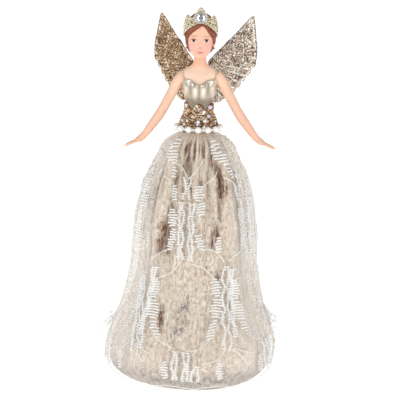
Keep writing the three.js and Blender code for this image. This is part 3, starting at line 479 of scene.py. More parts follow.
petticoat_rings = cloth_rings(
    petticoat_hem_height, petticoat_neck, petticoat_rows, petticoat_columns, petticoat_radius
)[0]
petticoat_rings[-2, :, 2] -= petticoat_tuck
petticoat = skirt_piece("netting_petticoat", petticoat_rings, netting)
settle(petticoat, "netting", "petticoat")


# Underskirt: crinkled gauze, hung in deep uneven folds from the waist and tucked under at the hem.
# It is woven of soft upright fibres, and its deepest folds and hollows carry painted brown shade.
gauze_low = corners_of("underskirt")[0]
gauze_inset = 4.0
gauze_neck = 13.4
gauze_rows = 170
gauze_columns = 500
fold_depth = 2.4
fold_count = 8
pleat_depth = 1.25
pleat_count = 15
swell_depth = 5.0
fibre_count = 620
fibre_steps = 16
fibre_radius = 0.13

# [height share, depth share] of the folds: flat at the tucked hem, deepest above it
fold_shares = [
    [0, 0], [0.05, 0.3], [0.15, 0.75], [0.4, 1], [0.75, 0.9], [0.93, 0.45], [1, 0.15],
]

# [height share, depth share] of the pleats, which die out lower down
pleat_shares = [
    [0, 0], [0.2, 0.12], [0.4, 0.5], [0.63, 1], [0.8, 1], [0.93, 0.5], [1, 0.1],
]

# [degrees round from the front, height, degrees across, height across, depth] of the deep hollows
# seen at the front; the same ones are worn again further round
# Each hollow is sunk into the cloth and darkened with painted shade.
hollow_spots = [
    [34, 163, 4.6, 12, 1.0], [31, 172, 3.6, 9, 0.9], [24, 182, 3.0, 8, 0.8],
    [40, 160, 4.0, 8, 0.5], [-31, 142, 3.0, 8, 0.75], [-33, 126, 5.6, 12, 0.9],
    [-37, 116, 4.6, 9, 0.9], [-29, 113, 3.6, 7, 0.8], [-25.7, 168, 2.6, 9, 0.5],
    [-13.8, 179, 3.2, 8, 0.85], [-5.5, 188, 2.6, 6, 0.75], [-19.5, 190, 3.2, 5, 0.75],
    [8, 188, 2.4, 6, 0.6], [7, 162, 1.8, 7, 0.55], [24.7, 126, 3.8, 9, 0.7],
    [19, 120, 3.0, 8, 0.6], [29, 142, 2.6, 10, 0.45], [-29, 57, 3.2, 10, 0.8],
    [24.3, 92, 2.2, 6, 0.5], [-60, 168, 3.6, 14, 0.5], [58, 140, 3.6, 16, 0.5],
    [-58, 110, 3.6, 18, 0.4],
]
hollow_turns = [0, 118, 236]
hollow_sink = 1.7

# [height share, depth share] of how much the cloth stands out further on the doll's right
swell_shares = [
    [0, 1.1], [0.04, 1.3], [0.1, 0.92], [0.15, 0.7], [0.24, 0.6], [0.32, 0.56], [0.43, 0.3],
    [0.52, 0.15], [0.63, 0.26], [0.8, 0.12], [0.91, 0], [1, 0],
]


def fold_at(angle):
    """How far the cloth lies from a peak of its folds, as the solids have it."""
    drift = 0.55 * np.sin(2 * angle) + 0.35 * np.sin(6 * angle)
    return 0.75 * np.cos(fold_count * angle + drift) + 0.25 * np.cos(fold_count / 2 * angle) - 1


def pleat_at(angle):
    """The soft pleats between the folds, as the solids have them."""
    return np.cos(pleat_count * angle + 1.3 * np.sin(3 * angle)) - 0.4


def tight_fold(angle, height):
    return np.cos(34 * angle + 2.1 * np.sin(5 * angle) + 1.3 * np.sin(height / 7 + 4 * angle))


def wide_fold(angle, height):
    return np.cos(26 * angle + 1.6 * np.sin(4 * angle) + 1.8 * np.sin(height / 12 + 3 * angle))


def gathers(angle, height):
    """Fine pleats at the waist that run together into fewer, wider ones lower down."""
    share = height / skirt_height
    tight = hill(share - 0.97, 0.07) * tight_fold(angle, height)
    wider = hill(share - 0.86, 0.1) * wide_fold(angle, height)
    return 0.6 * tight + 0.8 * wider + pleat_depth * along(pleat_shares, share) * pleat_at(angle)


def gather_valleys(angle, height):
    """How deep a point lies between the fine pleats at the waist."""
    share = height / skirt_height
    tight = hill(share - 0.95, 0.05) * np.clip(0.15 - tight_fold(angle, height), 0, 1)
    wider = hill(share - 0.83, 0.11) * np.clip(-wide_fold(angle, height) - 0.1, 0, 1)
    return np.maximum(tight, 0.9 * wider)


def draped_radius(angle, height):
    """The bell with its folds, and the side where it stands out further."""
    share = height / skirt_height
    swell = swell_depth * along(swell_shares, share) * np.clip(-np.sin(angle), 0, 1) ** 2
    return bell_radius(height) + fold_depth * along(fold_shares, share) * fold_at(angle) + swell


def hollow_at(angle, height):
    """How deep in a hollow a point lies, from nothing to one."""
    deep = np.zeros(np.broadcast(angle, height).shape)
    for turn in hollow_turns:
        for middle, level, across, up, depth in hollow_spots:
            away = np.degrees(np.angle(np.exp(1j * (angle - np.radians(middle + turn)))))
            wander = 1.3 * np.sin(height / 7.3 + middle)
            deep = np.maximum(deep, depth * hill(away - wander, across) * hill(height - level, up))
    return deep


def gauze_radius(angle, height):
    wave = np.sin(59 * angle + 2.4 * np.sin(height / 19 + 3 * angle) + np.sin(height / 7))
    crimp = np.sin(101 * angle + 1.9 * np.sin(height / 11 + 5 * angle))
    lump = np.sin(height / 5.1 + 9 * np.sin(7 * angle)) * np.sin(23 * angle + height / 9)
    worn = np.clip(height / 24, 0, 1)
    crinkle = worn * (0.34 * wave + 0.2 * crimp + 0.22 * lump)
    sunk = gauze_inset + hollow_sink * hollow_at(angle, height)
    sunk = sunk + 2.2 * np.abs(np.sin(angle)) ** 5 * hill(height - 95, 55)
    return draped_radius(angle, height) + gathers(angle, height) + crinkle - sunk


gauze = Finish("crinkled_gauze", Roughness=0.92, Sheen_Weight=0.15, Sheen_Roughness=0.6)
gauze_x, gauze_y, gauze_z = gauze.split(gauze.place())
gauze_turn = gauze.math("ARCTAN2", gauze_x, 0 - gauze_y) * 50.0
gauze_flat = gauze.joined(gauze_turn, gauze_z, 0.0)
gauze_wander = gauze.noise(gauze.stretch(gauze_flat, 0.12, 0.09, 1.0), 1.0, 3.0)
gauze_bent = gauze.joined(gauze_turn + gauze_wander * 7.0, gauze_z, 0.0)
fibre_fine = gauze.noise(gauze.stretch(gauze_bent, 1.9, 0.16, 1.0), 1.0, 4.0, 0.62)
fibre_crinkle = gauze.noise(gauze.stretch(gauze_bent, 0.5, 0.26, 1.0), 1.0, 4.0, 0.8)
fibre_broad = gauze.noise(gauze.stretch(gauze_bent, 0.16, 0.04, 1.0), 1.0, 3.0, 0.55)
gauze_patch = gauze.noise(gauze.stretch(gauze_flat, 0.05, 0.03, 1.0), 1.0, 2.0)
crinkle_stops = [(0.40, (0.17, 0.09, 0.04)), (0.47, (0.62, 0.465, 0.325)), (0.55, (1.0, 0.93, 0.82))]
gauze_crinkle = fibre_crinkle * 0.75 + fibre_fine * 0.25
gauze_aside = gauze_x * gauze_x / (gauze_x * gauze_x + gauze_y * gauze_y)
# Painted shade at the hem: greyer and darker, mottled along the crinkle.
gauze_hem_shade = gauze.mix(gauze.ease(gauze_crinkle, 0.42, 0.58), (0.10, 0.08, 0.064), (0.52, 0.455, 0.405))
# How much painted shade each point of the gauze takes, read from the mesh.
gauze_fold_shade = gauze.read("hollow")
gauze_strands = gauze.ease(gauze_crinkle * 0.5 + fibre_fine * 0.5, 0.58, 0.44)
gauze_tone = gauze.coats(
    gauze.ramp(gauze_crinkle, crinkle_stops),
    [gauze.ease(fibre_broad, 0.45, 0.7) * 0.35, (0.90, 0.83, 0.74)],
    [gauze.ease(gauze_patch, 0.42, 0.66) * 0.30, (0.62, 0.45, 0.31)],
    [gauze.ease(gauze_z, 120.0, 20.0) * 0.28, (0.88, 0.78, 0.70)],
    # painted light: the sides of the skirt paler
    [gauze_aside * gauze_aside * 0.8, (1.0, 0.95, 0.88)],
    # painted light: the upper skirt paler and warmer
    [gauze.ease(gauze_z, 135.0, 180.0) * 0.5, (1.0, 0.84, 0.64)],
    # painted shade at the hem
    [gauze.ease(gauze_z, 24.0, 8.0) * 0.9, gauze_hem_shade],
    # painted shade in the hollows and fold valleys: brown, darkest along the fibres
    [gauze.ease(gauze_fold_shade, 0.15, 0.95) * 0.6, (0.52, 0.30, 0.14)],
    [gauze.ease(gauze_fold_shade * (0.25 + 0.9 * gauze_strands), 0.05, 0.62), (0.14, 0.045, 0.011)],
)
gauze.set(Base_Color=gauze_tone)
gauze.bump(fibre_fine * 0.5 + fibre_crinkle, 0.7, 0.8)


def hold(piece, name, values):
    """Keeps a value at each point of a piece for its finish to read."""
    kept = piece.data.attributes.new(name, "FLOAT", "POINT").data
    kept.foreach_set("value", np.ravel(values).astype(np.float32))
    return piece


gauze_rings, gauze_angle, gauze_height = cloth_rings(
    gauze_low[2], gauze_neck, gauze_rows, gauze_columns, gauze_radius
)
gauze_skirt = skirt_piece("gauze_underskirt", gauze_rings, gauze)
# Painted shade for the gauze, kept on the mesh: deepest in the sunk hollows, less in the valleys of the
# folds and between the pleats at the waist.
valley_shade = np.clip(-fold_at(gauze_angle) - 1.2, 0, 1) + 0.8 * np.clip(-pleat_at(gauze_angle) - 0.7, 0, 1)
valley_shade = valley_shade * np.clip((gauze_height - 70) / 80, 0, 1)
valley_shade = 0.3 * valley_shade + 0.5 * gather_valleys(gauze_angle, gauze_height)
deep = np.clip(hollow_at(gauze_angle, gauze_height) + valley_shade, 0, 1)
hold(gauze_skirt, "hollow", np.concatenate([deep, deep[-1:]]))
settle(gauze_skirt, "gauze", "underskirt")


# Fibres of the gauze: fine cotton ends that have worked loose from its threads. They are held in the
# weave, run up along it and stand a little off it.
fibre_lowest, fibre_range = 6, 165
fibre_least, fibre_most = 14, 46


def growing_tree(name, inputs):
    """A tree with its named inputs, and a function that adds a node and links or sets its sockets."""
    tree = bpy.data.node_groups.new(name, "GeometryNodeTree")
    tree.interface.new_socket("Geometry", in_out="INPUT", socket_type="NodeSocketGeometry")
    for label, kind, value in inputs:
        socket = tree.interface.new_socket(label, in_out="INPUT", socket_type=kind)
        if value is not None:
            socket.default_value = value
    tree.interface.new_socket("Geometry", in_out="OUTPUT", socket_type="NodeSocketGeometry")
    given = tree.nodes.new("NodeGroupInput")

    def add(kind, settings=None, sockets=None):
        made = tree.nodes.new(kind)
        for setting, value in (settings or {}).items():
            setattr(made, setting, value)
        for socket, value in (sockets or {}).items():
            if isinstance(value, bpy.types.NodeSocket):
                tree.links.new(value, made.inputs[socket])
            else:
                made.inputs[socket].default_value = value
        return made

    return tree, given.outputs, add


def close_tree(tree, add, geometry, finish):
    """Ends a tree in plain mesh with its finish on."""
    real = add("GeometryNodeRealizeInstances", sockets={"Geometry": geometry})
    painted = add("GeometryNodeSetMaterial", sockets={"Geometry": real.outputs[0], "Material": finish})
    result = tree.nodes.new("NodeGroupOutput")
    tree.links.new(painted.outputs[0], result.inputs[0])


def as_made(piece):
    """The mesh of a piece with its modifiers worked out."""
    held = bpy.context.evaluated_depsgraph_get()
    return bpy.data.meshes.new_from_object(piece.evaluated_get(held), depsgraph=held)


def grown(name, start, tree, **inputs):
    """A plain mesh piece from the tree on a start mesh, with the tree's inputs by their names."""
    modifier = start.modifiers.new("grow", "NODES")
    modifier.node_group = tree
    for item in tree.interface.items_tree:
        if item.in_out == "INPUT" and item.name in inputs:
            modifier[item.identifier] = inputs[item.name]
    mesh = as_made(start)
    bpy.data.objects.remove(start)
    mesh.name = name
    mesh.polygons.foreach_set("use_smooth", [True] * len(mesh.polygons))
    piece = bpy.data.objects.new(name, mesh)
    scene.collection.objects.link(piece)
    return piece


def start_from(name, points, edges, tint):
    """A start mesh of points in millimetres, each with its own tint."""
    mesh = bpy.data.meshes.new(name)
    mesh.from_pydata((np.asarray(points, float) * millimetre).tolist(), edges, [])
    start = bpy.data.objects.new(name, mesh)
    scene.collection.objects.link(start)
    return hold(start, "tint", tint)


thread_tree, given, add = growing_tree(
    "threads_on_lines",
    [
        ["Radius", "NodeSocketFloat", 0.0003],
        ["Sides", "NodeSocketInt", 5],
        ["Finish", "NodeSocketMaterial", None],
    ],
)
line = add("GeometryNodeMeshToCurve", sockets={"Mesh": given["Geometry"]})
wide = add("GeometryNodeSetCurveRadius", sockets={"Curve": line.outputs[0], "Radius": given["Radius"]})
round_edge = add("GeometryNodeCurvePrimitiveCircle", sockets={"Resolution": given["Sides"], "Radius": 1.0})
tube = add(
    "GeometryNodeCurveToMesh",
    sockets={"Curve": wide.outputs[0], "Profile Curve": round_edge.outputs[0], "Fill Caps": True},
)
if "Scale" in tube.inputs:
    thread_tree.links.new(given["Radius"], tube.inputs["Scale"])
close_tree(thread_tree, add, tube.outputs[0], given["Finish"])


def threads(name, lines, radius, sides, finish, tint=None):
    """Round threads that follow open lines, in millimetres, each line with its own tint."""
    points, edges, tints = [], [], []
    for index, line in enumerate(lines):
        first = len(points)
        points.extend(line)
        edges.extend((first + step, first + step + 1) for step in range(len(line) - 1))
        tints.extend([0.5 if tint is None else tint[index]] * len(line))
    start = start_from(name + "_lines", points, edges, tints)
    settings = {"Radius": radius * millimetre, "Sides": sides, "Finish": finish.material}
    return face_out(grown(name, start, thread_tree, **settings))


chance = np.random.default_rng(7)
fibre_finish = Finish("loose_fibre", Roughness=0.8)
fibre_tint = fibre_finish.read("tint")
fibre_stops = [(0.0, (0.40, 0.29, 0.20)), (0.35, (0.66, 0.54, 0.42)), (1.0, (0.93, 0.88, 0.80))]
fibre_finish.set(Base_Color=fibre_finish.ramp(fibre_tint, fibre_stops))
fibre_lines = []
for _ in range(fibre_count):
    root = chance.uniform(-math.pi, math.pi)
    low = fibre_lowest + fibre_range * chance.random()
    high = min(low + chance.uniform(fibre_least, fibre_most), skirt_height - 4)
    heights = np.linspace(low, high, fibre_steps)
    sway = chance.uniform(0.6, 1.8) * np.sin(heights / chance.uniform(3.2, 8) + chance.uniform(0, 6))
    angles = root + sway / bell_radius(heights)
    stand = 0.12 + 0.45 * chance.random() * np.abs(np.sin(np.linspace(0, 3 * np.pi, fibre_steps)))
    fibre_lines.append(polar(angles, gauze_radius(angles, heights) + stand, heights))
fibres = threads(
    "gauze_fibres", fibre_lines, fibre_radius, 3, fibre_finish, tint=list(chance.random(fibre_count))
)
settle(fibres, "gauze")


# Lace overskirt: fine net with a drawn-thread pattern, gathered at the waist under the pearls and
# open at the hem in shallow scallops. Long ladder-stitched leaves frame plain panels, and pairs of
# cord arcs run from one leaf to the next.
lace_neck = 14.5
lace_hem_height = 4.5
lace_rows = 130
lace_columns = 560
scallop_count = 12
scallop_depth = 2.0
lace_inset = 0.35
lace_stand = 0.35
lace_turns = [-10, 66, 138, 202, 274]
bar_pitch = 1.9
bar_bow = 0.45
leaf_bar_radius = 0.68
rail_bar_radius = 0.46
arc_radius = 0.34
arc_steps = 14
hem_steps = 361
hem_cord_rise = 0.4

# [degrees from the middle of a panel and height at the top, the same at the bottom, half width]
# of each lozenge of solid stitches; three make a leaf
lozenges = [
    [-27.9, 89, -28.4, 73, 3.2], [-28.2, 72, -25.6, 57, 5.2], [-25.4, 56, -18, 43, 3.5],
    [28.2, 91, 30.8, 76, 3.7], [30.8, 75, 27.3, 60, 4.6], [27, 59, 20.8, 44, 3.6],
    [-18.5, 163, -14.8, 151, 2.6], [-16.7, 145, -14.2, 131, 3.9], [-12.7, 130, -16.2, 112, 3.2],
    [12.1, 164, 10.1, 152, 3.6], [13.3, 151, 14.6, 141, 3.5], [11.1, 127, 15.4, 114, 3.2],
    [32.1, 124, 31.5, 111, 2.6], [-10.8, 27, -9.6, 13, 2.9], [27.8, 29, 28.2, 13, 2.8],
    [39.6, 197, 45.3, 190, 3.2], [45.3, 189, 51.5, 178, 3.6], [51.5, 177, 56, 168, 2.6],
    [-42, 193, -36, 182, 3.0],
]

# The same, for pairs of narrow rails that meet and part down their length
rail_pairs = [
    [40.5, 100, 35.5, 36, 3.3], [46, 98, 43, 44, 1.2], [-2.6, 170, -1.6, 152, 2.6],
    [-6.3, 151, -5.4, 105, 2.0], [4.1, 151, 4.7, 105, 2.0], [-3.4, 36, -3.3, 12, 2.0],
    [4.8, 36, 4.5, 12, 2.0], [11, 26, 11.3, 12, 3.2],
]
front_rails = [[-45, 89, -29.1, 34, 3.2], [-50, 84, -36, 30, 1.0]]

# Ends and middle of each arc, as degrees from the middle of a panel and height
arc_paths = [
    [[-33, 104], [-25, 110], [-16.2, 113]],
    [[-27.9, 89], [-13.7, 95], [-5.4, 104]],
    [[15.4, 114], [27.6, 113], [38.5, 103]],
    [[4.7, 104], [16.5, 100], [28.2, 91]],
    [[-28, 180], [-12, 177], [-2.6, 169]],
    [[-1.5, 168], [8.8, 176], [18.9, 184]],
    [[12.1, 163], [25, 167], [35, 174]],
    [[-32.5, 169], [-25.9, 167], [-18.5, 162]],
    [[-18, 43], [-11.7, 40], [-3.9, 37]],
    [[5.5, 37], [14, 39], [20.8, 44]],
    [[15, 27], [27.5, 30], [33, 37]],
    [[-36.5, 37], [-28.7, 34], [-21.5, 31]],
    [[36, 36], [43, 33], [49, 24]],
]


def lace_radius(angle, height):
    share = height / skirt_height
    flute = 0.55 * np.sin(25 * angle + 1.2 * np.sin(4 * angle) + height / 55)
    flute = np.clip(share / 0.2, 0.2, 1) * flute
    flutter = 0.5 * hill(share - 0.05, 0.07) * np.sin(31 * angle + 2 * np.sin(3 * angle))
    puckers = 0.35 * np.sin(83 * angle + 2 * np.sin(height / 13 + 3 * angle))
    puckers = np.clip(height / 30, 0, 1) * puckers
    return draped_radius(angle, height) + gathers(angle, height) + flute + flutter + puckers - lace_inset


def scallops(angle):
    return scallop_depth * np.abs(np.sin(scallop_count * angle / 2))


def on_lace(angle, height, stand=lace_stand):
    return polar(angle, lace_radius(angle, height) + stand, height)


net = Finish("lace_net", Roughness=0.7, Sheen_Weight=0.2)
net_thread = net_holes(net, 50.0, 1.7, 0.35)
net_cloud = net.noise(net.stretch(net.place(), 0.16, 0.16, 0.05), 1.0, 3.0)
net_fleck = net.ease(net.noise(net.place(), 0.8, 3.0, 0.7), 0.44, 0.60)
net.set(Base_Color=net.mix(net_fleck, (0.92, 0.83, 0.72), (1.0, 0.975, 0.93)))
net.set(Alpha=net.read("full") * (0.05 + 0.25 * net_thread + 0.15 * net_cloud + 0.34 * net_fleck))

net_rings, net_angle, net_height = cloth_rings(
    lace_hem_height, lace_neck, lace_rows, lace_columns, lace_radius, scallops
)
lace_net = skirt_piece("lace_net", net_rings, net)
net_full = 0.5 + 1.2 * np.abs(np.sin(net_angle)) ** 4 * np.clip(net_height / 40, 0, 1)
# The net is thinner over the hollows and pleat valleys, so that the painted shade of the gauze shows
# through.
net_full = net_full - 1.0 * hollow_at(net_angle, net_height) - 0.45 * gather_valleys(net_angle, net_height)
net_full = np.clip(net_full + 0.3 * hill(net_height - 185, 25), 0.02, 1.5)
hold(lace_net, "full", np.concatenate([net_full, net_full[-1:]]))
settle(lace_net, "lace", "lace_overskirt")


def bars(middle, height, half, slant):
    """Short cross stitches along a path, each bowed a little, for half widths in millimetres."""
    lines = []
    share = np.linspace(-1, 1, 5)
    for angle, level, reach in zip(middle, height, half):
        tilt = slant + 0.32 * math.sin(5.7 * level + 9 * angle)
        rise = bar_bow * (1 - share**2) + tilt * share
        stretch = 1 + 0.2 * math.sin(7.3 * level + 5 * angle)
        across = share * reach * stretch + 0.35 * math.sin(3.7 * level)
        turn = angle + across / bell_radius(level)
        lines.append(on_lace(turn, level + rise, lace_stand + 0.25 * (1 - share**2)))
    return lines


def run_of(run, turn):
    """Evenly spaced places down a run, with how far down each is."""
    from_angle, from_height, to_angle, to_height, half = run
    count = max(int(abs(from_height - to_height) / bar_pitch), 3)
    share = (np.arange(count) + 0.5) / count
    middle = turn + np.radians(from_angle + (to_angle - from_angle) * share)
    return share, middle, from_height + (to_height - from_height) * share, half


def lozenge(run, turn):
    share, middle, height, half = run_of(run, turn)
    width = half * (0.42 + 0.58 * np.sin(np.pi * share) ** 0.7)
    return bars(middle, height, width * (1 + 0.07 * np.sin(height * 3.1)), 0.25 * math.sin(run[0]))


def rails(run, turn):
    _, middle, height, half = run_of(run, turn)
    apart = half * (0.3 + 0.7 * np.abs(np.sin(height / 5.2 + run[0])))
    wobble = 0.3 * np.sin(height * 2.3) + 0.5 * np.sin(height / 2.7 + run[0])
    lines = []
    for side in (-1, 1):
        away = (side * apart + wobble) / bell_radius(height)
        lines += bars(middle + away, height, 1.35 + 0.35 * np.sin(height * 1.3 + side), 0.3 * side)
        lines.append(on_lace(middle + away, height, lace_stand))
    return lines


def arc_line(ends, turn):
    """A cord that curves through three places on the lace."""
    first, middle, last = (np.array(end, float) for end in ends)
    share = np.linspace(0, 1, arc_steps)[:, None]
    pull = 2 * middle - (first + last) / 2
    path = (1 - share) ** 2 * first + 2 * share * (1 - share) * pull + share**2 * last
    return on_lace(turn + np.radians(path[:, 0]), path[:, 1], lace_stand + 0.2)


stitch_finish = Finish("lace_thread", Roughness=0.55, Sheen_Weight=0.3, Specular_IOR_Level=0.35)
stitch_at = stitch_finish.place()
stitch_fibre = stitch_finish.noise(stitch_at, 5.0, 3.0)
stitch_finish.set(Base_Color=stitch_finish.mix(stitch_fibre, (0.95, 0.93, 0.90), (1.0, 1.0, 0.99)))
stitch_finish.bump(stitch_fibre, 0.08)

leaf_lines, rail_lines, arc_lines = [], [], []
for degrees in lace_turns:
    turn = math.radians(degrees)
    nudge = 0.02 * math.sin(2.3 * degrees)
    for run in lozenges:
        leaf_lines += lozenge(run, turn + nudge)
    for run in rail_pairs[degrees == lace_turns[-1]:]:
        rail_lines += rails(run, turn + nudge)
    arc_lines += [arc_line(ends, turn + nudge) for ends in arc_paths]
for run in front_rails:
    rail_lines += rails(run, math.radians(lace_turns[0]))
hem_angles = np.linspace(-np.pi, np.pi, hem_steps)
hem_line = on_lace(hem_angles, lace_hem_height + scallops(hem_angles) + hem_cord_rise)
for name, lines, radius in (
    ("lace_leaves", leaf_lines, leaf_bar_radius),
    ("lace_rails", rail_lines, rail_bar_radius),
    ("lace_cords", [*arc_lines, hem_line], arc_radius),
):
    settle(threads(name, lines, radius, 5, stitch_finish), "lace")

# Specks: flakes of silver foil caught in the net in loose drifts, each held by the threads that it
# lies between.
speck_radius = 0.4
speck_turns = (-10, 138, 202)

# [degrees from the middle of a panel, height, count] of each drift
speck_drifts = [[1, 68, 44], [-2, 52, 50], [-8, 176, 22], [4, 30, 16]]

speck_finish = Finish("silver_specks", Base_Color=(0.20, 0.20, 0.22), Metallic=0.5, Roughness=0.3)
speck_lines = []
for degrees in speck_turns:
    for across, level, count in speck_drifts:
        for _ in range(count):
            drift = chance.normal()
            angle = math.radians(degrees + across + 3 * drift + 1.5 * chance.normal())
            height = level + 4 * drift + 2.5 * chance.normal()
            step = np.array([0, chance.uniform(0.4, 0.8)])
            speck_lines.append(on_lace(angle + step * 0.01, height + step, lace_stand + 0.1))
settle(threads("net_specks", speck_lines, speck_radius, 5, speck_finish), "lace")

# Loose threads: ends of the net's own thread that hang down both sides, and tufts of lace pushed out
# low down at each side. All are still caught in the net at one end.
loose_radius = 0.2
loose_count = 16
loose_steps = 30
tuft_steps = 26

# [radians round from the front, height, count] of each tuft
tuft_spots = [[1.52, 44, 16], [-1.55, 40, 12]]

loose_lines = []
for index in range(loose_count):
    side = -1 if index % 2 else 1
    root = side * chance.uniform(1.15, 1.75)
    high = chance.uniform(150, 196)
    heights = np.linspace(high, high - chance.uniform(45, 105), loose_steps)
    sway = chance.uniform(0.5, 1.5) * np.sin(heights / chance.uniform(9, 21) + chance.uniform(0, 6))
    off = chance.uniform(0.4, 1.5) * np.sin(np.linspace(0.15, np.pi - 0.15, loose_steps))
    angles = root + sway / bell_radius(heights)
    loose_lines.append(polar(angles, lace_radius(angles, heights) + off, heights))
tuft_lines = []
for middle, level, count in tuft_spots:
    for _ in range(count):
        loop = np.linspace(0, 2 * np.pi * chance.uniform(0.8, 1.6), tuft_steps) + chance.uniform(0, 6)
        swing = chance.uniform(1.5, 4.2)
        heights = level + chance.uniform(-11, 12) + swing * 1.5 * np.sin(loop)
        angles = middle + chance.uniform(-0.09, 0.09) + swing * np.cos(loop * 1.3) / 68
        off = 0.6 + chance.uniform(1.5, 4.4) * (1 + np.cos(loop * 0.7 + swing))
        tuft_lines.append(polar(angles, lace_radius(angles, heights) + off, heights))
loose_threads = threads("loose_net_threads", [*loose_lines, *tuft_lines], loose_radius, 4, stitch_finish)
settle(loose_threads, "lace")

# Tie: a linen thread wound three times round the gathers of the skirts and pulled tight, which holds
# them on the collar of the plug. The pearls lie over it.
tie_low, tie_high = corners_of("waist_tie")
tie_inset = 0.4
tie_radius = 0.25
tie_width = 0.7
tie_turns = np.linspace(0, 6 * np.pi, 240)
tie_height = (tie_low[2] + tie_high[2]) / 2 - tie_width / 2 + tie_width * tie_turns / tie_turns[-1]
tie_line = polar(tie_turns, tie_high[0] - tie_inset, tie_height)
tie = threads("gather_tie", [tie_line], tie_radius, 6, fibre_finish, tint=[0.3])
settle(tie, "lace", "waist_tie")


# Trunk and arms: one casting in skin-coloured resin, painted and a little waxy, with slim arms held
# out and down and the hands turned flat. Its hips stand on the plug under the beads.
trunk_low, trunk_high = corners_of("trunk")
trunk_seat = trunk_low[2]
trunk_height = trunk_high[2] - trunk_seat
shoulder_half = 14.8
bust_depth = 2.3
bust_across = 6.3
bust_spread = 4.4
bust_rise = 5.0
bust_height = trunk_high[2] - 29.3
arm_high = corners_of("arm_left")[1]
arm_reach = {1: arm_high[0] + 2.0, -1: arm_high[0] - 1.8}
arm_drop = 56.5
arm_socket_height = trunk_seat + 0.655 * trunk_height
arm_stations = 64
arm_sides = 30
finger_length = 10.8
finger_width = 1.95
finger_thickness = 2.4
finger_pitch = 1.7
finger_spread = 0.14
finger_drop_share = 0.8
thumb_root_share = 0.93
thumb_width_share = 1.1
thumb_length = 6.4
thumb_turn = 0.62
trunk_rows, trunk_columns = 90, 96
skin_voxel = 0.42
skin_passes = 8

# [height share, then half width, front and back depth as shares of the shoulder]
trunk_shares = [
    [0, 0.872, 0.872, 0.872], [0.059, 0.872, 0.872, 0.872], [0.107, 0.818, 0.743, 0.757],
    [0.193, 0.66, 0.57, 0.595], [0.266, 0.61, 0.495, 0.514], [0.34, 0.64, 0.495, 0.5],
    [0.426, 0.73, 0.555, 0.527], [0.533, 0.86, 0.622, 0.581], [0.633, 0.899, 0.595, 0.581],
    [0.689, 1, 0.534, 0.541], [0.729, 0.99, 0.446, 0.473], [0.754, 0.878, 0.378, 0.419],
    [0.78, 0.665, 0.331, 0.378], [0.817, 0.44, 0.304, 0.338], [0.864, 0.342, 0.291, 0.311],
    [0.931, 0.32, 0.277, 0.304], [1, 0.31, 0.277, 0.3],
]

# [share of the arm, reach share, drop share] of its middle line, shoulder to knuckles
arm_line_shares = [
    [0, 0.21, -0.045], [0.167, 0.303, 0.09], [0.333, 0.388, 0.265], [0.5, 0.515, 0.515],
    [0.667, 0.635, 0.7], [0.833, 0.745, 0.855], [1, 0.835, 0.922],
]

# [share of the arm, thickness and breadth as shares of the shoulder width]
arm_girth_shares = [
    [0, 0.27, 0.27], [0.06, 0.31, 0.315], [0.2, 0.29, 0.3], [0.45, 0.262, 0.27],
    [0.52, 0.268, 0.275], [0.62, 0.25, 0.262], [0.8, 0.195, 0.2], [0.87, 0.185, 0.2],
    [0.95, 0.17, 0.25], [1, 0.135, 0.24],
]

# [place across the knuckles, length share] from the little finger
finger_shares = [
    [-1.5, 0.76], [-0.5, 0.94], [0.5, 1], [1.5, 0.92],
]

# [length share, girth share] along a finger
fingertip_shares = [
    [-0.3, 0.9], [0.2, 1.02], [0.5, 0.96], [0.75, 0.88], [0.92, 0.68], [1, 0.3],
]


def trunk_point(angle, height, out=0.0):
    """A point on the trunk, or straight out from it by a distance."""
    angle, height = matched(angle, height)
    shares = along(trunk_shares, (height - trunk_seat) / trunk_height)
    width, front, back = np.moveaxis(shares * shoulder_half, -1, 0)
    sine, cosine = np.sin(angle), np.cos(angle)
    depth = np.where(cosine > 0, front, back)
    x = width * sine
    cups = hill(x - bust_across, bust_spread) + hill(x + bust_across, bust_spread)
    swell = np.where(cosine > 0, bust_depth * cups * hill(height - bust_height, bust_rise), 0)
    normal = np.stack([sine / width, -cosine / depth, 0 * sine], axis=-1)
    normal /= np.linalg.norm(normal, axis=-1, keepdims=True)
    point = np.stack([x, -(depth + swell) * cosine, height], axis=-1)
    return point + normal * np.asarray(out, float)[..., None]


def capped(rings):
    """Points and faces of a closed form over open rings, with a fan at each end."""
    rings = np.asarray(rings)
    rows, columns = rings.shape[:2]
    points = np.concatenate([rings.reshape(-1, 3), rings[0].mean(0)[None], rings[-1].mean(0)[None]])
    faces = grid_faces(rows, columns)
    last = (rows - 1) * columns
    for column in range(columns):
        beside = (column + 1) % columns
        faces.append((beside, column, rows * columns))
        faces.append((last + column, last + beside, rows * columns + 1))
    return points, faces


def capped_piece(name, rings, finish):
    return face_out(piece_from(name, *capped(rings), finish))


def limb(centres, thick, broad, sides):
    """Oval rings about a middle line that stays in the plane of the arms, broad across it."""
    centres = np.asarray(centres, float)
    tangent = np.gradient(centres, axis=0)
    tangent /= np.linalg.norm(tangent, axis=1, keepdims=True)
    wide = np.array([0, 1, 0]) - tangent * tangent[:, 1:2]
    wide /= np.linalg.norm(wide, axis=1, keepdims=True)
    up = np.cross(wide, tangent)
    turn = all_round(sides)[None, :, None]
    rise, aside = thick[:, None, None] * np.cos(turn), broad[:, None, None] * np.sin(turn)
    return centres[:, None] + up[:, None] * rise + wide[:, None] * aside


def arm_middle(side, share):
    reach, drop = np.moveaxis(along(arm_line_shares, share), -1, 0)
    height = arm_socket_height - drop * arm_drop
    return np.stack([side * reach * arm_reach[side], 0 * reach, height], axis=-1)


def finger_form(knuckle, heading, length, width):
    share = np.linspace(-0.3, 1, 14)
    girth = along(fingertip_shares, share)
    centres = knuckle + share[:, None] * length * heading
    return capped(limb(centres, girth * finger_thickness / 2, girth * width / 2, 12))


def heading_at(side, turn, drop):
    """The way that a finger points, turned forwards from the arm."""
    heading = np.array([side * math.cos(turn), -math.sin(turn), drop])
    return heading / np.linalg.norm(heading)


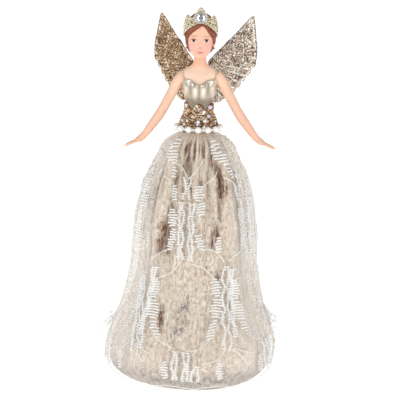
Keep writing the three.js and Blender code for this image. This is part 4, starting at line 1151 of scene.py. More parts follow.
def arm_forms(side):
    """The forms that make up an arm: the limb with its palm, four fingers and a thumb."""
    share = np.linspace(0, 1, arm_stations)
    thick, broad = np.moveaxis(along(arm_girth_shares, share) * shoulder_half, -1, 0)
    forms = [capped(limb(arm_middle(side, share), thick, broad, arm_sides))]
    ends = arm_middle(side, np.array([0.97, 1.0]))
    drop = (ends[1] - ends[0])[2] / np.linalg.norm(ends[1] - ends[0]) * finger_drop_share
    for place, length in finger_shares:
        knuckle = ends[1] + [0, -place * finger_pitch, 0]
        heading = heading_at(side, place * finger_spread, drop)
        forms.append(finger_form(knuckle, heading, finger_length * length, finger_width))
    root = arm_middle(side, np.array([thumb_root_share]))[0] + [0, -finger_width, 0]
    heading = heading_at(side, thumb_turn, drop)
    forms.append(finger_form(root, heading, thumb_length, finger_width * thumb_width_share))
    return forms


def one_form(name, forms, finish):
    """Several closed forms as one loose mesh."""
    points, faces = [], []
    for form_points, form_faces in forms:
        faces.extend(tuple(index + len(points) for index in face) for face in form_faces)
        points.extend(form_points)
    return face_out(piece_from(name, points, faces, finish))


def melt(piece, voxel, passes):
    """Runs overlapping forms together into one skin and smooths it."""
    remesh = piece.modifiers.new("melt", "REMESH")
    remesh.mode = "VOXEL"
    remesh.voxel_size = voxel * millimetre
    remesh.use_smooth_shade = True
    ease = piece.modifiers.new("ease", "SMOOTH")
    ease.factor = 0.5
    ease.iterations = passes
    mesh = as_made(piece)
    piece.modifiers.clear()
    piece.data = mesh
    mesh.polygons.foreach_set("use_smooth", [True] * len(mesh.polygons))
    return piece


def skin_finish(name):
    """Skin paint on resin: even and warm, clouded a little, with a soft shine."""
    finish = Finish(name, Roughness=0.48, Specular_IOR_Level=0.35, Subsurface_Weight=0.12)
    finish.set(Subsurface_Radius=(0.004, 0.0016, 0.0008), Subsurface_Scale=0.5)
    cloud = finish.noise(finish.place(), 0.11, 3.0)
    return finish, finish.mix(finish.ease(cloud, 0.35, 0.7), (0.96, 0.62, 0.44), (1.0, 0.68, 0.51))


skin, skin_tone = skin_finish("skin_paint")
skin_at = skin.place()
skin_rose = skin.noise(skin_at, 0.06, 2.0)
skin_across, _, skin_up = skin.split(skin_at)
skin_aside = skin_across.math("ABSOLUTE")
# Painted light on the chest and painted shade on the neck under the head.
skin_chest_light = skin.ease(skin_aside, 15.0, 10.0) * skin.ease(skin_up, 255.0, 249.0)
skin_neck_shade = skin.ease(skin_aside, 15.0, 9.0) * skin.ease(skin_up, 251.0, 257.0)
skin_tone = skin.coats(
    skin_tone,
    [skin.ease(skin_rose, 0.45, 0.75) * 0.4, (0.88, 0.52, 0.42)],
    # painted light: the chest paler
    [skin_chest_light * 0.5, (1.0, 0.78, 0.62)],
    # painted shade: the neck darker and warmer
    [skin_neck_shade * 0.65, (0.84, 0.42, 0.29)],
    [skin.ease(skin_aside, 18.0, 26.0) * 0.4, (0.88, 0.48, 0.35)],
)
skin.set(Base_Color=skin_tone)
skin.bump(skin.noise(skin_at, 2.2, 3.0), 0.03)

trunk_levels = trunk_seat + np.linspace(0, 1, trunk_rows) * trunk_height
trunk_form = capped(trunk_point(all_round(trunk_columns)[None, :], trunk_levels[:, None]))
figure_forms = [trunk_form, *arm_forms(1), *arm_forms(-1)]
figure_skin = melt(one_form("trunk_and_arms", figure_forms, skin), skin_voxel, skin_passes)
settle(figure_skin, "skin", "trunk", "arm_left", "arm_right")


# Bodice: stiffened satin painted in a soft champagne metal, shaped in panels between sewn seams,
# with a sweetheart neckline and two points at the waist.
# Its colour also holds painted highlights on the cups and painted shade in the seams and below the bust.
bodice_thickness = 0.9
bodice_stand = 0.3
seam_depth = 0.32
panel_swell = 0.75

# [share of a half turn from the front, height share of the trunk] of the lower edge
waist_shares = [
    [0, 0.332], [0.09, 0.295], [0.17, 0.243], [0.25, 0.28], [0.36, 0.322], [0.5, 0.328],
    [1, 0.328],
]

# [share of a half turn from the front, height share of the trunk] of the neckline
neck_shares = [
    [0, 0.575], [0.05, 0.59], [0.1, 0.611], [0.17, 0.637], [0.27, 0.641], [0.38, 0.641],
    [0.5, 0.618], [0.75, 0.6], [1, 0.598],
]

# Radians round from the front of each seam, the same on both sides
seam_turns = np.array([0, 0.55, math.pi / 2, 2.35, math.pi])

# [out from the middle, spread, height, spread, how much lighter] of the painted highlights on the cups and
# the painted shade between them
bodice_painted_lights = [
    [3.3, 1.7, 233.8, 4.6, 0.62], [10.8, 1.6, 234.5, 5.2, 0.6], [7.1, 1.0, 235, 5, -0.22],
]


def edge_height(table, angle):
    """The height of an edge at an angle, the same on both sides of the doll."""
    return trunk_seat + trunk_height * along(table, np.arccos(np.clip(np.cos(angle), -1, 1)) / np.pi)


def panel_relief(angle, height):
    """How far a panel stands off between its seams, fullest over the bust."""
    turn = np.arccos(np.clip(np.cos(angle), -1, 1))
    index = np.clip(np.searchsorted(seam_turns, turn, side="right"), 1, len(seam_turns) - 1)
    span = seam_turns[index] - seam_turns[index - 1]
    part = (turn - seam_turns[index - 1]) / span
    full = 0.12 + 0.88 * hill(height - bust_height - 1, 8)
    groove = np.minimum(part, 1 - part) * span * 11
    return panel_swell * full * np.sin(np.pi * part) ** 0.8 - seam_depth * full**0.5 * hill(groove, 0.45)


bodice_columns, bodice_rows = 240, 64
bodice_angles = all_round(bodice_columns)
bodice_low = edge_height(waist_shares, bodice_angles)
bodice_high = edge_height(neck_shares, bodice_angles)
bodice_climb = np.linspace(0, 1, bodice_rows)[:, None]
bodice_height = bodice_low + (bodice_high - bodice_low) * bodice_climb
bodice_rim = np.minimum(bodice_climb, 1 - bodice_climb) * (bodice_high - bodice_low)
bodice_out = bodice_stand + bodice_thickness * np.clip(bodice_rim / 0.5, 0.45, 1) ** 0.5
bodice_out = bodice_out + panel_relief(bodice_angles, bodice_height) * np.clip(bodice_rim / 1.2, 0, 1)
bodice_outside = trunk_point(bodice_angles[None, :], bodice_height, bodice_out)
bodice_inside = trunk_point(bodice_angles[None, :], bodice_height, -0.25)[::-1]

satin = Finish("champagne_satin", Metallic=0.7, Coat_Roughness=0.15, Specular_IOR_Level=0.6)
satin_at = satin.place()
satin_cloud = satin.noise(satin.stretch(satin_at, 0.3, 0.3, 0.12), 1.0, 3.0)
satin_weave = satin.noise(satin.stretch(satin_at, 5.0, 5.0, 1.2), 1.0, 2.0)
# Painted light on the metal, kept on the mesh: it lightens or darkens the colour, and the paint is glossier
# where it is lighter.
satin_painted_light = satin.read("full")
satin_stops = [(0.0, (0.20, 0.155, 0.10)), (0.45, (0.50, 0.43, 0.33)), (1.0, (0.93, 0.88, 0.76))]
satin_tone = satin.ramp(satin_painted_light, satin_stops)
satin.set(Base_Color=satin.mix(satin_cloud * 0.4, satin_tone, (0.70, 0.62, 0.50)))
satin.set(Roughness=0.44 + 0.1 * satin_weave - 0.22 * satin_painted_light, Coat_Weight=0.35 * satin_painted_light)
satin.bump(satin_weave, 0.05)
bodice = hooped_piece("satin_bodice", np.concatenate([bodice_outside, bodice_inside]), satin)
bodice_across, bodice_up = np.abs(bodice_outside[..., 0]), bodice_outside[..., 2]
# Painted light: highlights on the cups and along the upper edge, painted shade down the middle seam,
# between the cups and below the bust; the back is even.
bodice_painted_light = np.full(bodice_up.shape, 0.38)
for out, aside, level, spread, light in bodice_painted_lights:
    bodice_painted_light += light * hill(bodice_across - out, aside) * hill(bodice_up - level, spread)
bodice_painted_light -= 0.24 * hill(bodice_across, 0.8) * np.clip((bodice_up - 224) / 3, 0, 1)
bodice_painted_light += (0.25 + 0.25 * np.clip((bodice_across - 6) / 4, 0, 1)) * hill(bodice_up - 242.5, 3.4)
bodice_painted_light -= 0.42 * np.clip((230 - bodice_up) / 4, 0, 1)
bodice_painted_light = np.where(bodice_outside[..., 1] < 0, bodice_painted_light, 0.6)
hold(bodice, "full", np.clip([*np.ravel(bodice_painted_light), *np.ravel(bodice_painted_light[::-1])], 0, 1))
settle(bodice, "bodice_paint", "bodice")

# Piping: a fine cord covered with the same satin, sewn along the upper edge of the bodice all the
# way round.
piping_radius = 0.3
piping_drop = 0.1
piping_out = 0.45
piping_angles = np.linspace(0, 2 * np.pi, 241)
piping_height = edge_height(neck_shares, piping_angles) - piping_drop
cord_satin = Finish("satin_cord", Base_Color=(0.62, 0.52, 0.37), Metallic=0.1, Roughness=0.4)
piping = trunk_point(piping_angles, piping_height, bodice_stand + piping_out)
settle(threads("neckline_piping", [piping], piping_radius, 8, cord_satin), "bodice_paint")


# Shoulder straps: fine satin-covered cords, sewn under the front corners of the bodice, laid over
# the shoulders and sewn under its back edge.
strap_radius = 0.5
strap_out_share = 0.7
strap_front, strap_back = -97, 104
strap_across = 12.9
strap_eye = trunk_seat + 0.633 * trunk_height
strap_steps = 44
figure_surface = BVHTree.FromObject(figure_skin, bpy.context.evaluated_depsgraph_get())


def strap_line(side):
    """Straight up the front, over the shoulder and down the back, sunk a little into the skin."""
    eye = Vector((side * strap_across, 0, strap_eye))
    line = []
    for turn in np.radians(np.linspace(strap_front, strap_back, strap_steps)):
        way = Vector((0, math.sin(turn), math.cos(turn)))
        hit = figure_surface.ray_cast(eye * millimetre, way)[0] / millimetre
        line.append(np.array(hit + way * strap_radius * strap_out_share))
    return line


for node, side in (("strap_left", 1), ("strap_right", -1)):
    name = node.replace("strap", "shoulder_cord")
    strap = threads(name, [strap_line(side)], strap_radius, 10, cord_satin)
    settle(strap, "bodice_paint", node)


# Bead band: a woven band round the hips, sewn all over with mixed glass and metal beads that climb
# between the points of the bodice.
band_thickness = 1.0
band_stand = 0.3
band_gap = 0.3
band_inside_stand = 0.1
bead_gap = 2.15
bead_least = 0.82
bead_most = 1.38
bead_top_stand = 0.5
bead_row_count = 9
bead_row_radius = 14.2
bead_edge = 0.5
bead_foot = 2.2
band_rows, band_columns = 16, 144

bead_tree, given, add = growing_tree(
    "beads_on_points",
    [
        ["Radius", "NodeSocketFloat", 0.001],
        ["Around", "NodeSocketInt", 12],
        ["Down", "NodeSocketInt", 8],
        ["Finish", "NodeSocketMaterial", None],
    ],
)
bead_shape = add(
    "GeometryNodeMeshUVSphere",
    sockets={"Segments": given["Around"], "Rings": given["Down"], "Radius": given["Radius"]},
)
bead_size = add("GeometryNodeInputNamedAttribute", {"data_type": "FLOAT"}, {"Name": "size"})
spin = add(
    "FunctionNodeRandomValue",
    {"data_type": "FLOAT_VECTOR"},
    {"Min": (0.0, 0.0, 0.0), "Max": (3.1, 3.1, 3.1), "Seed": 5},
)
laid = add(
    "GeometryNodeInstanceOnPoints",
    sockets={
        "Points": given["Geometry"],
        "Instance": bead_shape.outputs[0],
        "Rotation": spin.outputs["Value"],
        "Scale": bead_size.outputs["Attribute"],
    },
)
close_tree(bead_tree, add, laid.outputs[0], given["Finish"])


def beads(name, places, radius, finish, sizes=None, tints=None, around=12, down=8):
    """Round beads at places in millimetres, each with its own size share and tint."""
    tints = np.full(len(places), 0.5) if tints is None else tints
    start = start_from(name + "_places", places, [], tints)
    hold(start, "size", np.ones(len(places)) if sizes is None else sizes)
    settings = {"Radius": radius * millimetre, "Around": around, "Down": down, "Finish": finish.material}
    return grown(name, start, bead_tree, **settings)


band_angles = all_round(band_columns)
band_foot = gather_top + band_gap
band_top = edge_height(waist_shares, band_angles) - band_gap
band_height = band_foot + (band_top - band_foot) * np.linspace(0, 1, band_rows)[:, None]


def band_side(out):
    """The band's rows at a distance out from the trunk, straight down below its seat."""
    points = trunk_point(band_angles[None, :], np.maximum(band_height, trunk_seat), out)
    points[..., 2] = band_height
    return points


band_cloth = Finish("beaded_band", Roughness=0.7)
band_weave = band_cloth.noise(band_cloth.place(), 2.4, 3.0)
band_tone = band_cloth.mix(band_weave, (0.16, 0.09, 0.05), (0.40, 0.25, 0.15))
band_up = band_cloth.split(band_cloth.place())[2]
band_hem = band_cloth.ease(band_up, 207.0, 205.5)
band_cloth.set(Base_Color=band_cloth.mix(band_hem, band_tone, (0.62, 0.51, 0.40)))
band_cloth.bump(band_weave, 0.2)
band_rings = np.concatenate([band_side(band_stand + band_thickness), band_side(band_inside_stand)[::-1]])
settle(hooped_piece("hip_band", band_rings, band_cloth), "beads", "bead_band")

bead_finish = Finish("mixed_beads", Roughness=0.2, Coat_Roughness=0.1)
bead_tint = bead_finish.read("tint")
bead_stops = [
    (0.0, (0.20, 0.10, 0.05)), (0.14, (0.45, 0.22, 0.11)), (0.32, (0.55, 0.36, 0.19)),
    (0.50, (0.66, 0.50, 0.32)), (0.66, (0.42, 0.33, 0.24)), (0.76, (0.80, 0.68, 0.52)),
    (0.88, (0.93, 0.88, 0.80)), (0.97, (0.72, 0.66, 0.86)),
]
bead_finish.set(Base_Color=bead_finish.ramp(bead_tint, bead_stops, "CONSTANT"))
bead_finish.set(Metallic=0.75 * (1 - bead_finish.ease(bead_tint, 0.72, 0.78)), Coat_Weight=0.6)
bead_places, bead_sizes, bead_tints = [], [], []
bead_lowest = trunk_seat + bead_foot
beads_around = int(2 * math.pi * bead_row_radius / bead_gap)
for row in range(bead_row_count):
    for column in range(beads_around):
        angle = 2 * math.pi * (column + 0.5 * (row % 2) + chance.uniform(-0.16, 0.16)) / beads_around
        bead_highest = float(edge_height(waist_shares, angle)) - bead_edge
        climb = (row + 0.2 + chance.uniform(-0.2, 0.2)) / (bead_row_count - 0.6)
        height = bead_lowest + (bead_highest - bead_lowest) * climb
        size = chance.uniform(bead_least, bead_most)
        tint = chance.random()
        if tint > 0.9:
            size *= 1.25
        out = band_stand + band_thickness + bead_top_stand * size
        bead_places.append(trunk_point(angle, height, out))
        bead_sizes.append(size)
        bead_tints.append(tint)
hip_beads = beads("hip_beads", bead_places, 1.0, bead_finish, bead_sizes, bead_tints, 10, 7)
settle(hip_beads, "beads")


# Pearl belt: large glass pearls with a small bead between each two, all threaded on one white cord
# that is tied in a loop round the waist, over the gathers.
pearl_count = 14
pearl_low, pearl_high = corners_of("pearl_01")
pearl_radius = (pearl_high[2] - pearl_low[2]) / 2
belt_height = (pearl_high[2] + pearl_low[2]) / 2
belt_cord_radius = 0.4
belt_radius = corners_of("belt_cord")[1][0] - belt_cord_radius
spacer_radius = 1.0

pearl = Finish("pearl", Roughness=0.2, Coat_Roughness=0.06, Subsurface_Weight=0.4, Subsurface_Scale=1.0)
pearl.set(Subsurface_Radius=(0.003, 0.003, 0.003))
pearl_at = pearl.place()
pearl_sheen = pearl.noise(pearl_at, 0.35, 2.0)
pearl_tone = pearl.mix(pearl.ease(pearl_sheen, 0.35, 0.65), (0.95, 0.96, 0.96), (1.0, 0.97, 0.93))
pearl.set(Base_Color=pearl_tone, Coat_Weight=0.6)
pearl_turns = 2 * math.pi * np.arange(pearl_count) / pearl_count
pearl_places = polar(pearl_turns, belt_radius, belt_height)
pearl_nodes = [f"pearl_{number:02d}" for number in range(1, pearl_count + 1)]
belt_pearls = beads("belt_pearls", pearl_places, pearl_radius, pearl, around=36, down=24)
settle(belt_pearls, "pearl", *pearl_nodes)
spacer_places = polar(pearl_turns + math.pi / pearl_count, belt_radius, belt_height)
belt_spacers = beads("belt_spacers", spacer_places, spacer_radius, pearl, around=16, down=10)
settle(belt_spacers, "pearl")
belt_line = polar(np.linspace(0, 2 * np.pi, 121), belt_radius, belt_height)
belt_cord = threads("pearl_cord", [belt_line], belt_cord_radius, 8, stitch_finish)
settle(belt_cord, "pearl", "belt_cord")


# Head: a round doll's face moulded with its ears, slipped over the neck and painted by hand: dark
# eyes under a fine lid line, faint brows, rosy cheeks and a small pale mouth.
head_half = 10.2
head_height = 33.7
head_back = 0.6
chin_height = trunk_high[2] - 5.8
head_columns, head_rows = 168, 132
head_crowding = 0.42
ball_columns, ball_rows = 24, 16
ear_radius = 1.5
ear_share = 0.34
ear_stand = 0.9
ear_stretch = np.array([0.7, 0.9, 1.8])
eye_across, eye_height = 5.05, 274.2
eye_offset = -0.25
eye_half = 2.6
mouth_height = 264.9

# [height share of the head, then half width, front and back depth as shares of its half width]
head_shares = [
    [0, 0.36, 0.76, 0.5], [0.034, 0.53, 0.86, 0.58], [0.1, 0.7, 0.91, 0.68],
    [0.176, 0.83, 0.925, 0.8], [0.269, 0.92, 0.935, 0.94], [0.393, 0.97, 0.93, 1.06],
    [0.548, 1, 0.965, 1.12], [0.703, 0.97, 0.945, 1.1], [0.827, 0.85, 0.82, 0.96],
    [0.92, 0.62, 0.6, 0.71], [0.975, 0.36, 0.34, 0.42], [1, 0.14, 0.13, 0.16],
]

# [out to each side, height, spread to the side, spread in height, rise] of each feature, the height
# as a share of the head's and the rest as shares of its half width
feature_shares = [
    [0, 0.228, 0.085, 0.07, 0.15], [0, 0.25, 0.13, 0.12, 0.05], [0.1, 0.22, 0.06, 0.05, 0.05],
    [0, 0.33, 0.09, 0.26, 0.075], [0, 0.143, 0.19, 0.035, 0.055], [0, 0.115, 0.15, 0.04, 0.055],
    [0, 0.128, 0.2, 0.014, -0.04], [0, 0.055, 0.3, 0.14, 0.05], [0.52, 0.26, 0.3, 0.22, 0.045],
    [0.48, 0.41, 0.26, 0.15, -0.07], [0.485, 0.4, 0.17, 0.085, 0.05], [0.45, 0.5, 0.3, 0.07, 0.02],
]


def head_point(angle, share, out=0.0):
    """A point on the head, or out from it by a distance along a line from its middle."""
    angle, share, out = matched(angle, share, out)
    width, front, back = np.moveaxis(along(head_shares, share) * head_half, -1, 0)
    depth = np.where(np.cos(angle) > 0, front, back)
    x = width * np.sin(angle)
    rise = np.zeros_like(x)
    for out_share, height, across, up, lift in feature_shares:
        for side in (out_share, -out_share) if out_share else (0,):
            over = hill(x - side * head_half, across * head_half)
            rise = rise + lift * over * hill((share - height) * head_height, up * head_half)
    rise = np.where(np.cos(angle) > 0, rise, 0)
    y = head_back - (depth + rise * head_half) * np.cos(angle)
    point = np.stack([x, y, chin_height + share * head_height], axis=-1)
    ray = point - [0, head_back, chin_height + 0.5 * head_height]
    return point + ray / np.linalg.norm(ray, axis=-1, keepdims=True) * out[..., None]


def crowded(columns, share):
    """Angles all round that lie closer together at the front by a share."""
    even = all_round(columns)[None, :]
    return even - share * np.sin(even)


def ball(centre, radius, stretch=(1, 1, 1)):
    """A closed ball, stretched along each axis."""
    down = np.linspace(0, np.pi, ball_rows + 2)[1:-1, None]
    angle = all_round(ball_columns)[None, :]
    parts = matched(np.sin(down) * np.cos(angle), np.sin(down) * np.sin(angle), np.cos(down))
    return capped(np.asarray(centre) + np.stack(parts, axis=-1) * radius * np.asarray(stretch))


def ear_centre(side):
    return head_point(side * np.pi / 2, ear_share, ear_stand) + [0, ear_radius, 0]


face, face_tone = skin_finish("painted_face")
face_at = face.place()
face_x, face_y, face_z = face.split(face_at)
face_aside = face_x.math("ABSOLUTE")
face_front = face.ease(face_y, -1.0, -3.0)


def spot(across, up, half_across, half_up, soft):
    """One inside an oval and nothing outside, over a soft edge."""
    reach = ((across / half_across) ** 2.0 + (up / half_up) ** 2.0) ** 0.5
    return face.ease(reach, 1 + soft, 1 - soft) * face_front


def stroke(distance, half, soft):
    """One along a painted line, from the distance to its middle."""
    return face.ease(distance.math("ABSOLUTE"), half + soft, half)


eye_x = (face_x - eye_offset).math("ABSOLUTE") - eye_across
eye_z = face_z - eye_height
eye_arch = 1 - (eye_x / eye_half) ** 2.0
eye_inside = face.ease(eye_x.math("ABSOLUTE"), eye_half, eye_half - 0.3) * face_front
lid_upper = eye_z - 1.15 * eye_arch
lid_lower = eye_z + 1.3 * eye_arch
eye_open = face.ease(lid_upper, 0.1, -0.1) * face.ease(lid_lower, -0.25, 0.25) * eye_inside
iris = spot(eye_x, eye_z, 1.15, 1.3, 0.2)
pupil = spot(eye_x, eye_z, 0.7, 0.7, 0.2)
glint = spot(eye_x + 0.4, eye_z - 0.5, 0.25, 0.25, 0.3)
lash = stroke(lid_upper, 0.28, 0.25) * eye_inside
crease = stroke(eye_z - 1.2 * eye_arch - 1.2, 0.12, 0.45) * face.ease(eye_x.math("ABSOLUTE"), 2.9, 1.6)
brow_arch = face_z - eye_height - 3.7 + (face_aside - 5.0) ** 2.0 * 0.06
brow_ends = face.ease((face_aside - 5.0).math("ABSOLUTE"), 3.2, 1.6)
brow = stroke(brow_arch, 0.12, 0.42) * brow_ends * face_front
socket_shade = spot(eye_x, eye_z - 1.3, 3.6, 2.5, 0.6)
cheek = spot(face_aside - 8.2, face_z - 269.0, 5.2, 4.8, 0.9)
nose_blush = spot(face_x, face_z - 268.0, 1.7, 1.3, 0.8)
mouth_glow = spot(face_x, face_z - mouth_height - 0.6, 4.6, 2.2, 0.7)
lip_arch = 1 - (face_x / 2.9) ** 2.0
lip_top = face_z - mouth_height - 0.75 * lip_arch
lip_low = face_z - mouth_height + 0.95 * lip_arch
lips = face.ease(lip_top, 0.2, -0.2) * face.ease(lip_low, -0.25, 0.2) * face_front
lips = lips * face.ease(face_aside, 3.0, 2.4)
lip_ends = face.ease(face_aside, 3.0, 2.0) * face_front
lip_line = stroke(face_z - mouth_height - 0.05 * lip_arch, 0.05, 0.25) * lip_ends
# Painted shade in the nostrils.
nostril_shade = spot(face_aside - 0.6, face_z - 267.2, 0.4, 0.2, 0.5)

# Painted shade down the sides of the face, darker and warmer.
face_side_shade = face.ease(face_aside, 6.8, 10.2)
face_paint = face.coats(
    face_tone,
    [0.5, (0.86, 0.45, 0.33)],
    # painted shade at the sides of the face
    [face_side_shade * 0.6, (0.84, 0.40, 0.28)],
    [cheek * 0.55, (0.96, 0.46, 0.40)],
    [nose_blush * 0.25, (0.90, 0.46, 0.33)],
    [mouth_glow * 0.4, (0.84, 0.40, 0.34)],
    [socket_shade * 0.15, (0.72, 0.44, 0.34)],
    [brow * 0.6, (0.40, 0.24, 0.15)],
    [crease * face_front * 0.4, (0.45, 0.28, 0.22)],
    [eye_open, (0.95, 0.80, 0.70)],
    [eye_open * iris, (0.05, 0.012, 0.004)],
    [eye_open * pupil, (0.003, 0.002, 0.002)],
    [lash * 0.8, (0.11, 0.045, 0.025)],
    [glint * 0.2, (0.9, 0.85, 0.8)],
    [lips * 0.6, (0.66, 0.25, 0.23)],
    [lip_line * 0.6, (0.42, 0.15, 0.13)],
    # painted shade in the nostrils
    [nostril_shade * 0.35, (0.55, 0.26, 0.20)],
)
face.set(Base_Color=face_paint, Roughness=0.48 - 0.14 * lips)
face.bump(face.noise(face_at, 2.2, 3.0), 0.02)

head_levels = np.linspace(0, 1, head_rows)[:, None]
head_forms = [capped(head_point(crowded(head_columns, head_crowding), head_levels))]
head_forms += [ball(ear_centre(side), ear_radius, ear_stretch) for side in (-1, 1)]
settle(one_form("painted_head", head_forms, face), "skin", "head")

# Earrings: a small ball of dark gilt metal under the lobe of each ear, on a pin pushed into the
# head.
earring_metal = Finish("earring_gilt", Roughness=0.25, Metallic=0.9, Base_Color=(0.36, 0.30, 0.24))
for node in ("earring_left", "earring_right"):
    low, high = corners_of(node)
    stud = ball((low + high) / 2, (high[2] - low[2]) / 2)
    ear_ball = one_form(node.replace("earring", "ear_ball"), [stud], earring_metal)
    settle(ear_ball, "tiara_glitter", node)


# Hair: painted resin in combed strands, drawn back from the face along the hairline and gathered
# into a low twisted bun behind.
hair_thickness = 1.7
hair_ramp = 1.5
hair_gap = 0.3
hair_columns, hair_rows = 260, 170
hair_crowding = 0.2
hair_lowest = 0.02
strand_depth = 0.17
strand_pitch = 1.05
bun_columns, bun_rows = 120, 70
bun_radius = 6.2
bun_share = 0.43
bun_stand = 3.9
bun_stretch = np.array([1, 0.78, 0.95])

# [share of a half turn, height share of the head] of the hairline, the doll's right to its left
hairline_shares = [
    [-1, 0.05], [-0.75, 0.08], [-0.62, 0.14], [-0.55, 0.22], [-0.5, 0.3], [-0.44, 0.412],
    [-0.345, 0.498], [-0.24, 0.576], [-0.085, 0.681], [0.055, 0.758], [0.115, 0.709], [0.2, 0.604],
    [0.285, 0.517], [0.4, 0.43], [0.5, 0.334], [0.55, 0.23], [0.62, 0.14], [0.75, 0.08], [1, 0.05],
]
bun_middle = head_point(np.pi, bun_share, bun_stand)


def above_hairline(angle, share):
    turn = np.arctan2(np.sin(angle), np.cos(angle)) / np.pi
    return (share - along(hairline_shares, turn)) * head_height


def strand_lines(angle, share):
    """A coordinate across the strands: along the hairline in front, round the bun behind."""
    point = head_point(angle, share)
    behind = np.arctan2(point[..., 0], point[..., 2] - bun_middle[2]) * 9.0
    front = above_hairline(angle, share) + 0.8 * np.sin(3 * angle) + 0.5 * np.sin(7 * angle + 1)
    blend = np.clip((0.35 - np.cos(angle)) / 0.7, 0, 1)
    blend = blend * blend * (3 - 2 * blend)
    return front * (1 - blend) + behind * blend


def hair_out(angle, share):
    above = above_hairline(angle, share)
    full = np.clip(above / hair_ramp, -1, 1)
    lines = 2 * np.pi * strand_lines(angle, share)
    comb = np.sin(lines / strand_pitch) + 0.6 * np.sin(lines / (0.43 * strand_pitch) + 1.3)
    return hair_gap + hair_thickness * full + strand_depth * comb * np.clip(full, 0, 1)


hair = Finish("auburn_hair", Specular_IOR_Level=0.35)
hair_strand = hair.read("strand")
hair_height = hair.read("above")
hair_x, _, hair_z = hair.split(hair.place())
hair_streak = hair.noise(hair.joined(hair_strand, hair_x * 0.05, hair_z * 0.05), 1.4, 3.0)
hair_tone = hair.mix(hair.ease(hair_streak, 0.35, 0.68), (0.17, 0.045, 0.020), (0.41, 0.135, 0.060))
hair_tone = hair.mix(hair.ease(hair_height, 2.4, 0.2) * 0.55, hair_tone, (0.20, 0.05, 0.03))
hair.set(Base_Color=hair_tone, Roughness=0.38 + 0.2 * hair_streak)
hair.bump(hair.noise(hair.joined(hair_strand, 0.0, 0.0), 3.0, 2.0), 0.08)

hair_angles = crowded(hair_columns, hair_crowding)
hair_levels = np.linspace(hair_lowest, 1, hair_rows)[:, None]
hair_rings = head_point(hair_angles, hair_levels, np.maximum(hair_out(hair_angles, hair_levels), -1.0))
hair_cap = capped_piece("combed_hair", hair_rings, hair)
ends = [0.0, 0.0]
hold(hair_cap, "strand", [*np.ravel(strand_lines(hair_angles, hair_levels)), *ends])
hold(hair_cap, "above", [*np.ravel(above_hairline(hair_angles, hair_levels)), *ends])
settle(hair_cap, "hair", "hair")

bun_down = np.linspace(0, np.pi, bun_rows + 2)[1:-1, None]
bun_turn = all_round(bun_columns)[None, :]
bun_swirl = bun_turn * 5 + 5.5 * bun_down
bun_twist = 0.045 * np.sin(bun_swirl) + 0.02 * np.sin(bun_swirl * 4)
bun_size = bun_radius * (1 + bun_twist * np.sin(bun_down))
bun_out = np.sin(bun_down)
bun_parts = matched(bun_out * np.sin(bun_turn), np.cos(bun_down), bun_out * np.cos(bun_turn))
bun_rings = bun_middle + np.stack(bun_parts, axis=-1) * bun_stretch * bun_size[..., None]
bun = capped_piece("twisted_bun", bun_rings, hair)
hold(bun, "strand", [*np.ravel(bun_swirl * 0.8), *ends])
hold(bun, "above", np.full(len(bun.data.vertices), 9.0))
settle(bun, "hair")


# Crown: a pierced tiara of three lobes in cast metal, bent round the hair, with beaded edges and
# covered all over in pale gold glitter and tiny stones.
crown_height = 12.1
crown_thickness = 0.9
crown_span = 0.62
crown_columns, crown_rows = 320, 20
piercing_radius = 0.85
crown_edge_steps = 400
crown_edge_bead = 0.62
top_bead_pitch = 1.15
low_bead_pitch = 1.05
rim_thread = 0.26
stone_count = 620
stone_radius = 0.42
stone_clear_turn = 0.028
stone_clear_rise = 0.14
drill_past = 1.0

# [share of a half turn, height share of the head] of its lower edge on the hair
crown_seat_shares = [
    [0, 0.776], [0.1, 0.757], [0.2, 0.7], [0.33, 0.61], [0.5, 0.533], [0.62, 0.475],
]

# [share of a half turn, height share of the crown] of its upper edge
crown_lobe_shares = [
    [0, 1], [0.04, 0.94], [0.08, 0.8], [0.12, 0.63], [0.165, 0.54], [0.2, 0.54], [0.25, 0.74],
    [0.3, 0.95], [0.33, 0.96], [0.37, 0.84], [0.43, 0.7], [0.5, 0.56], [0.57, 0.42], [0.62, 0.3],
]

# [share of a half turn, height share of the lobe above it] of the piercings on each side
piercing_shares = [
    [0.115, 0.45], [0.19, 0.5], [0.26, 0.36], [0.31, 0.62], [0.36, 0.36], [0.44, 0.5], [0.52, 0.5],
]


def crown_point(turn, rise, depth):
    """A point of the crown, from shares of a half turn and of its lobe's height, and a depth through it."""
    turn, rise, depth = matched(turn, rise, depth)
    away = np.abs(turn)
    foot = head_point(turn * np.pi, along(crown_seat_shares, away), 2 * hair_gap + hair_thickness)
    outward = foot - [0, head_back, 0]
    outward[..., 2] = 0
    outward /= np.linalg.norm(outward, axis=-1, keepdims=True)
    foot[..., 2] += rise * along(crown_lobe_shares, away) * crown_height
    return foot + outward * depth[..., None]


def rod_form(first, last, radius, sides):
    """A closed round rod between two places."""
    first, last = np.asarray(first, float), np.asarray(last, float)
    way = (last - first) / np.linalg.norm(last - first)
    wide = np.cross(way, [0, 0, 1.0])
    wide /= np.linalg.norm(wide)
    up = np.cross(wide, way)
    turn = all_round(sides)[:, None]
    ring = radius * (wide * np.cos(turn) + up * np.sin(turn))
    return capped(np.stack([first + ring, last + ring]))


glitter = Finish("tiara_glitter", Metallic=0.75, Coat_Roughness=0.1)
glitter_at = glitter.place()
glitter_cell = glitter.cells(glitter_at, 1.9)
glitter_shade = glitter.split(glitter_cell.other("Color"))[0]
glitter_stops = [
    (0.0, (0.30, 0.25, 0.16)), (0.18, (0.66, 0.56, 0.35)), (0.44, (0.92, 0.82, 0.58)),
    (0.74, (1.0, 0.97, 0.86)),
]
glitter.set(Base_Color=glitter.ramp(glitter_shade, glitter_stops, "CONSTANT"))
glitter.set(Roughness=0.15 + 0.35 * glitter_shade, Coat_Weight=0.5 * glitter_shade)
glitter.bump(glitter_shade, 0.35)

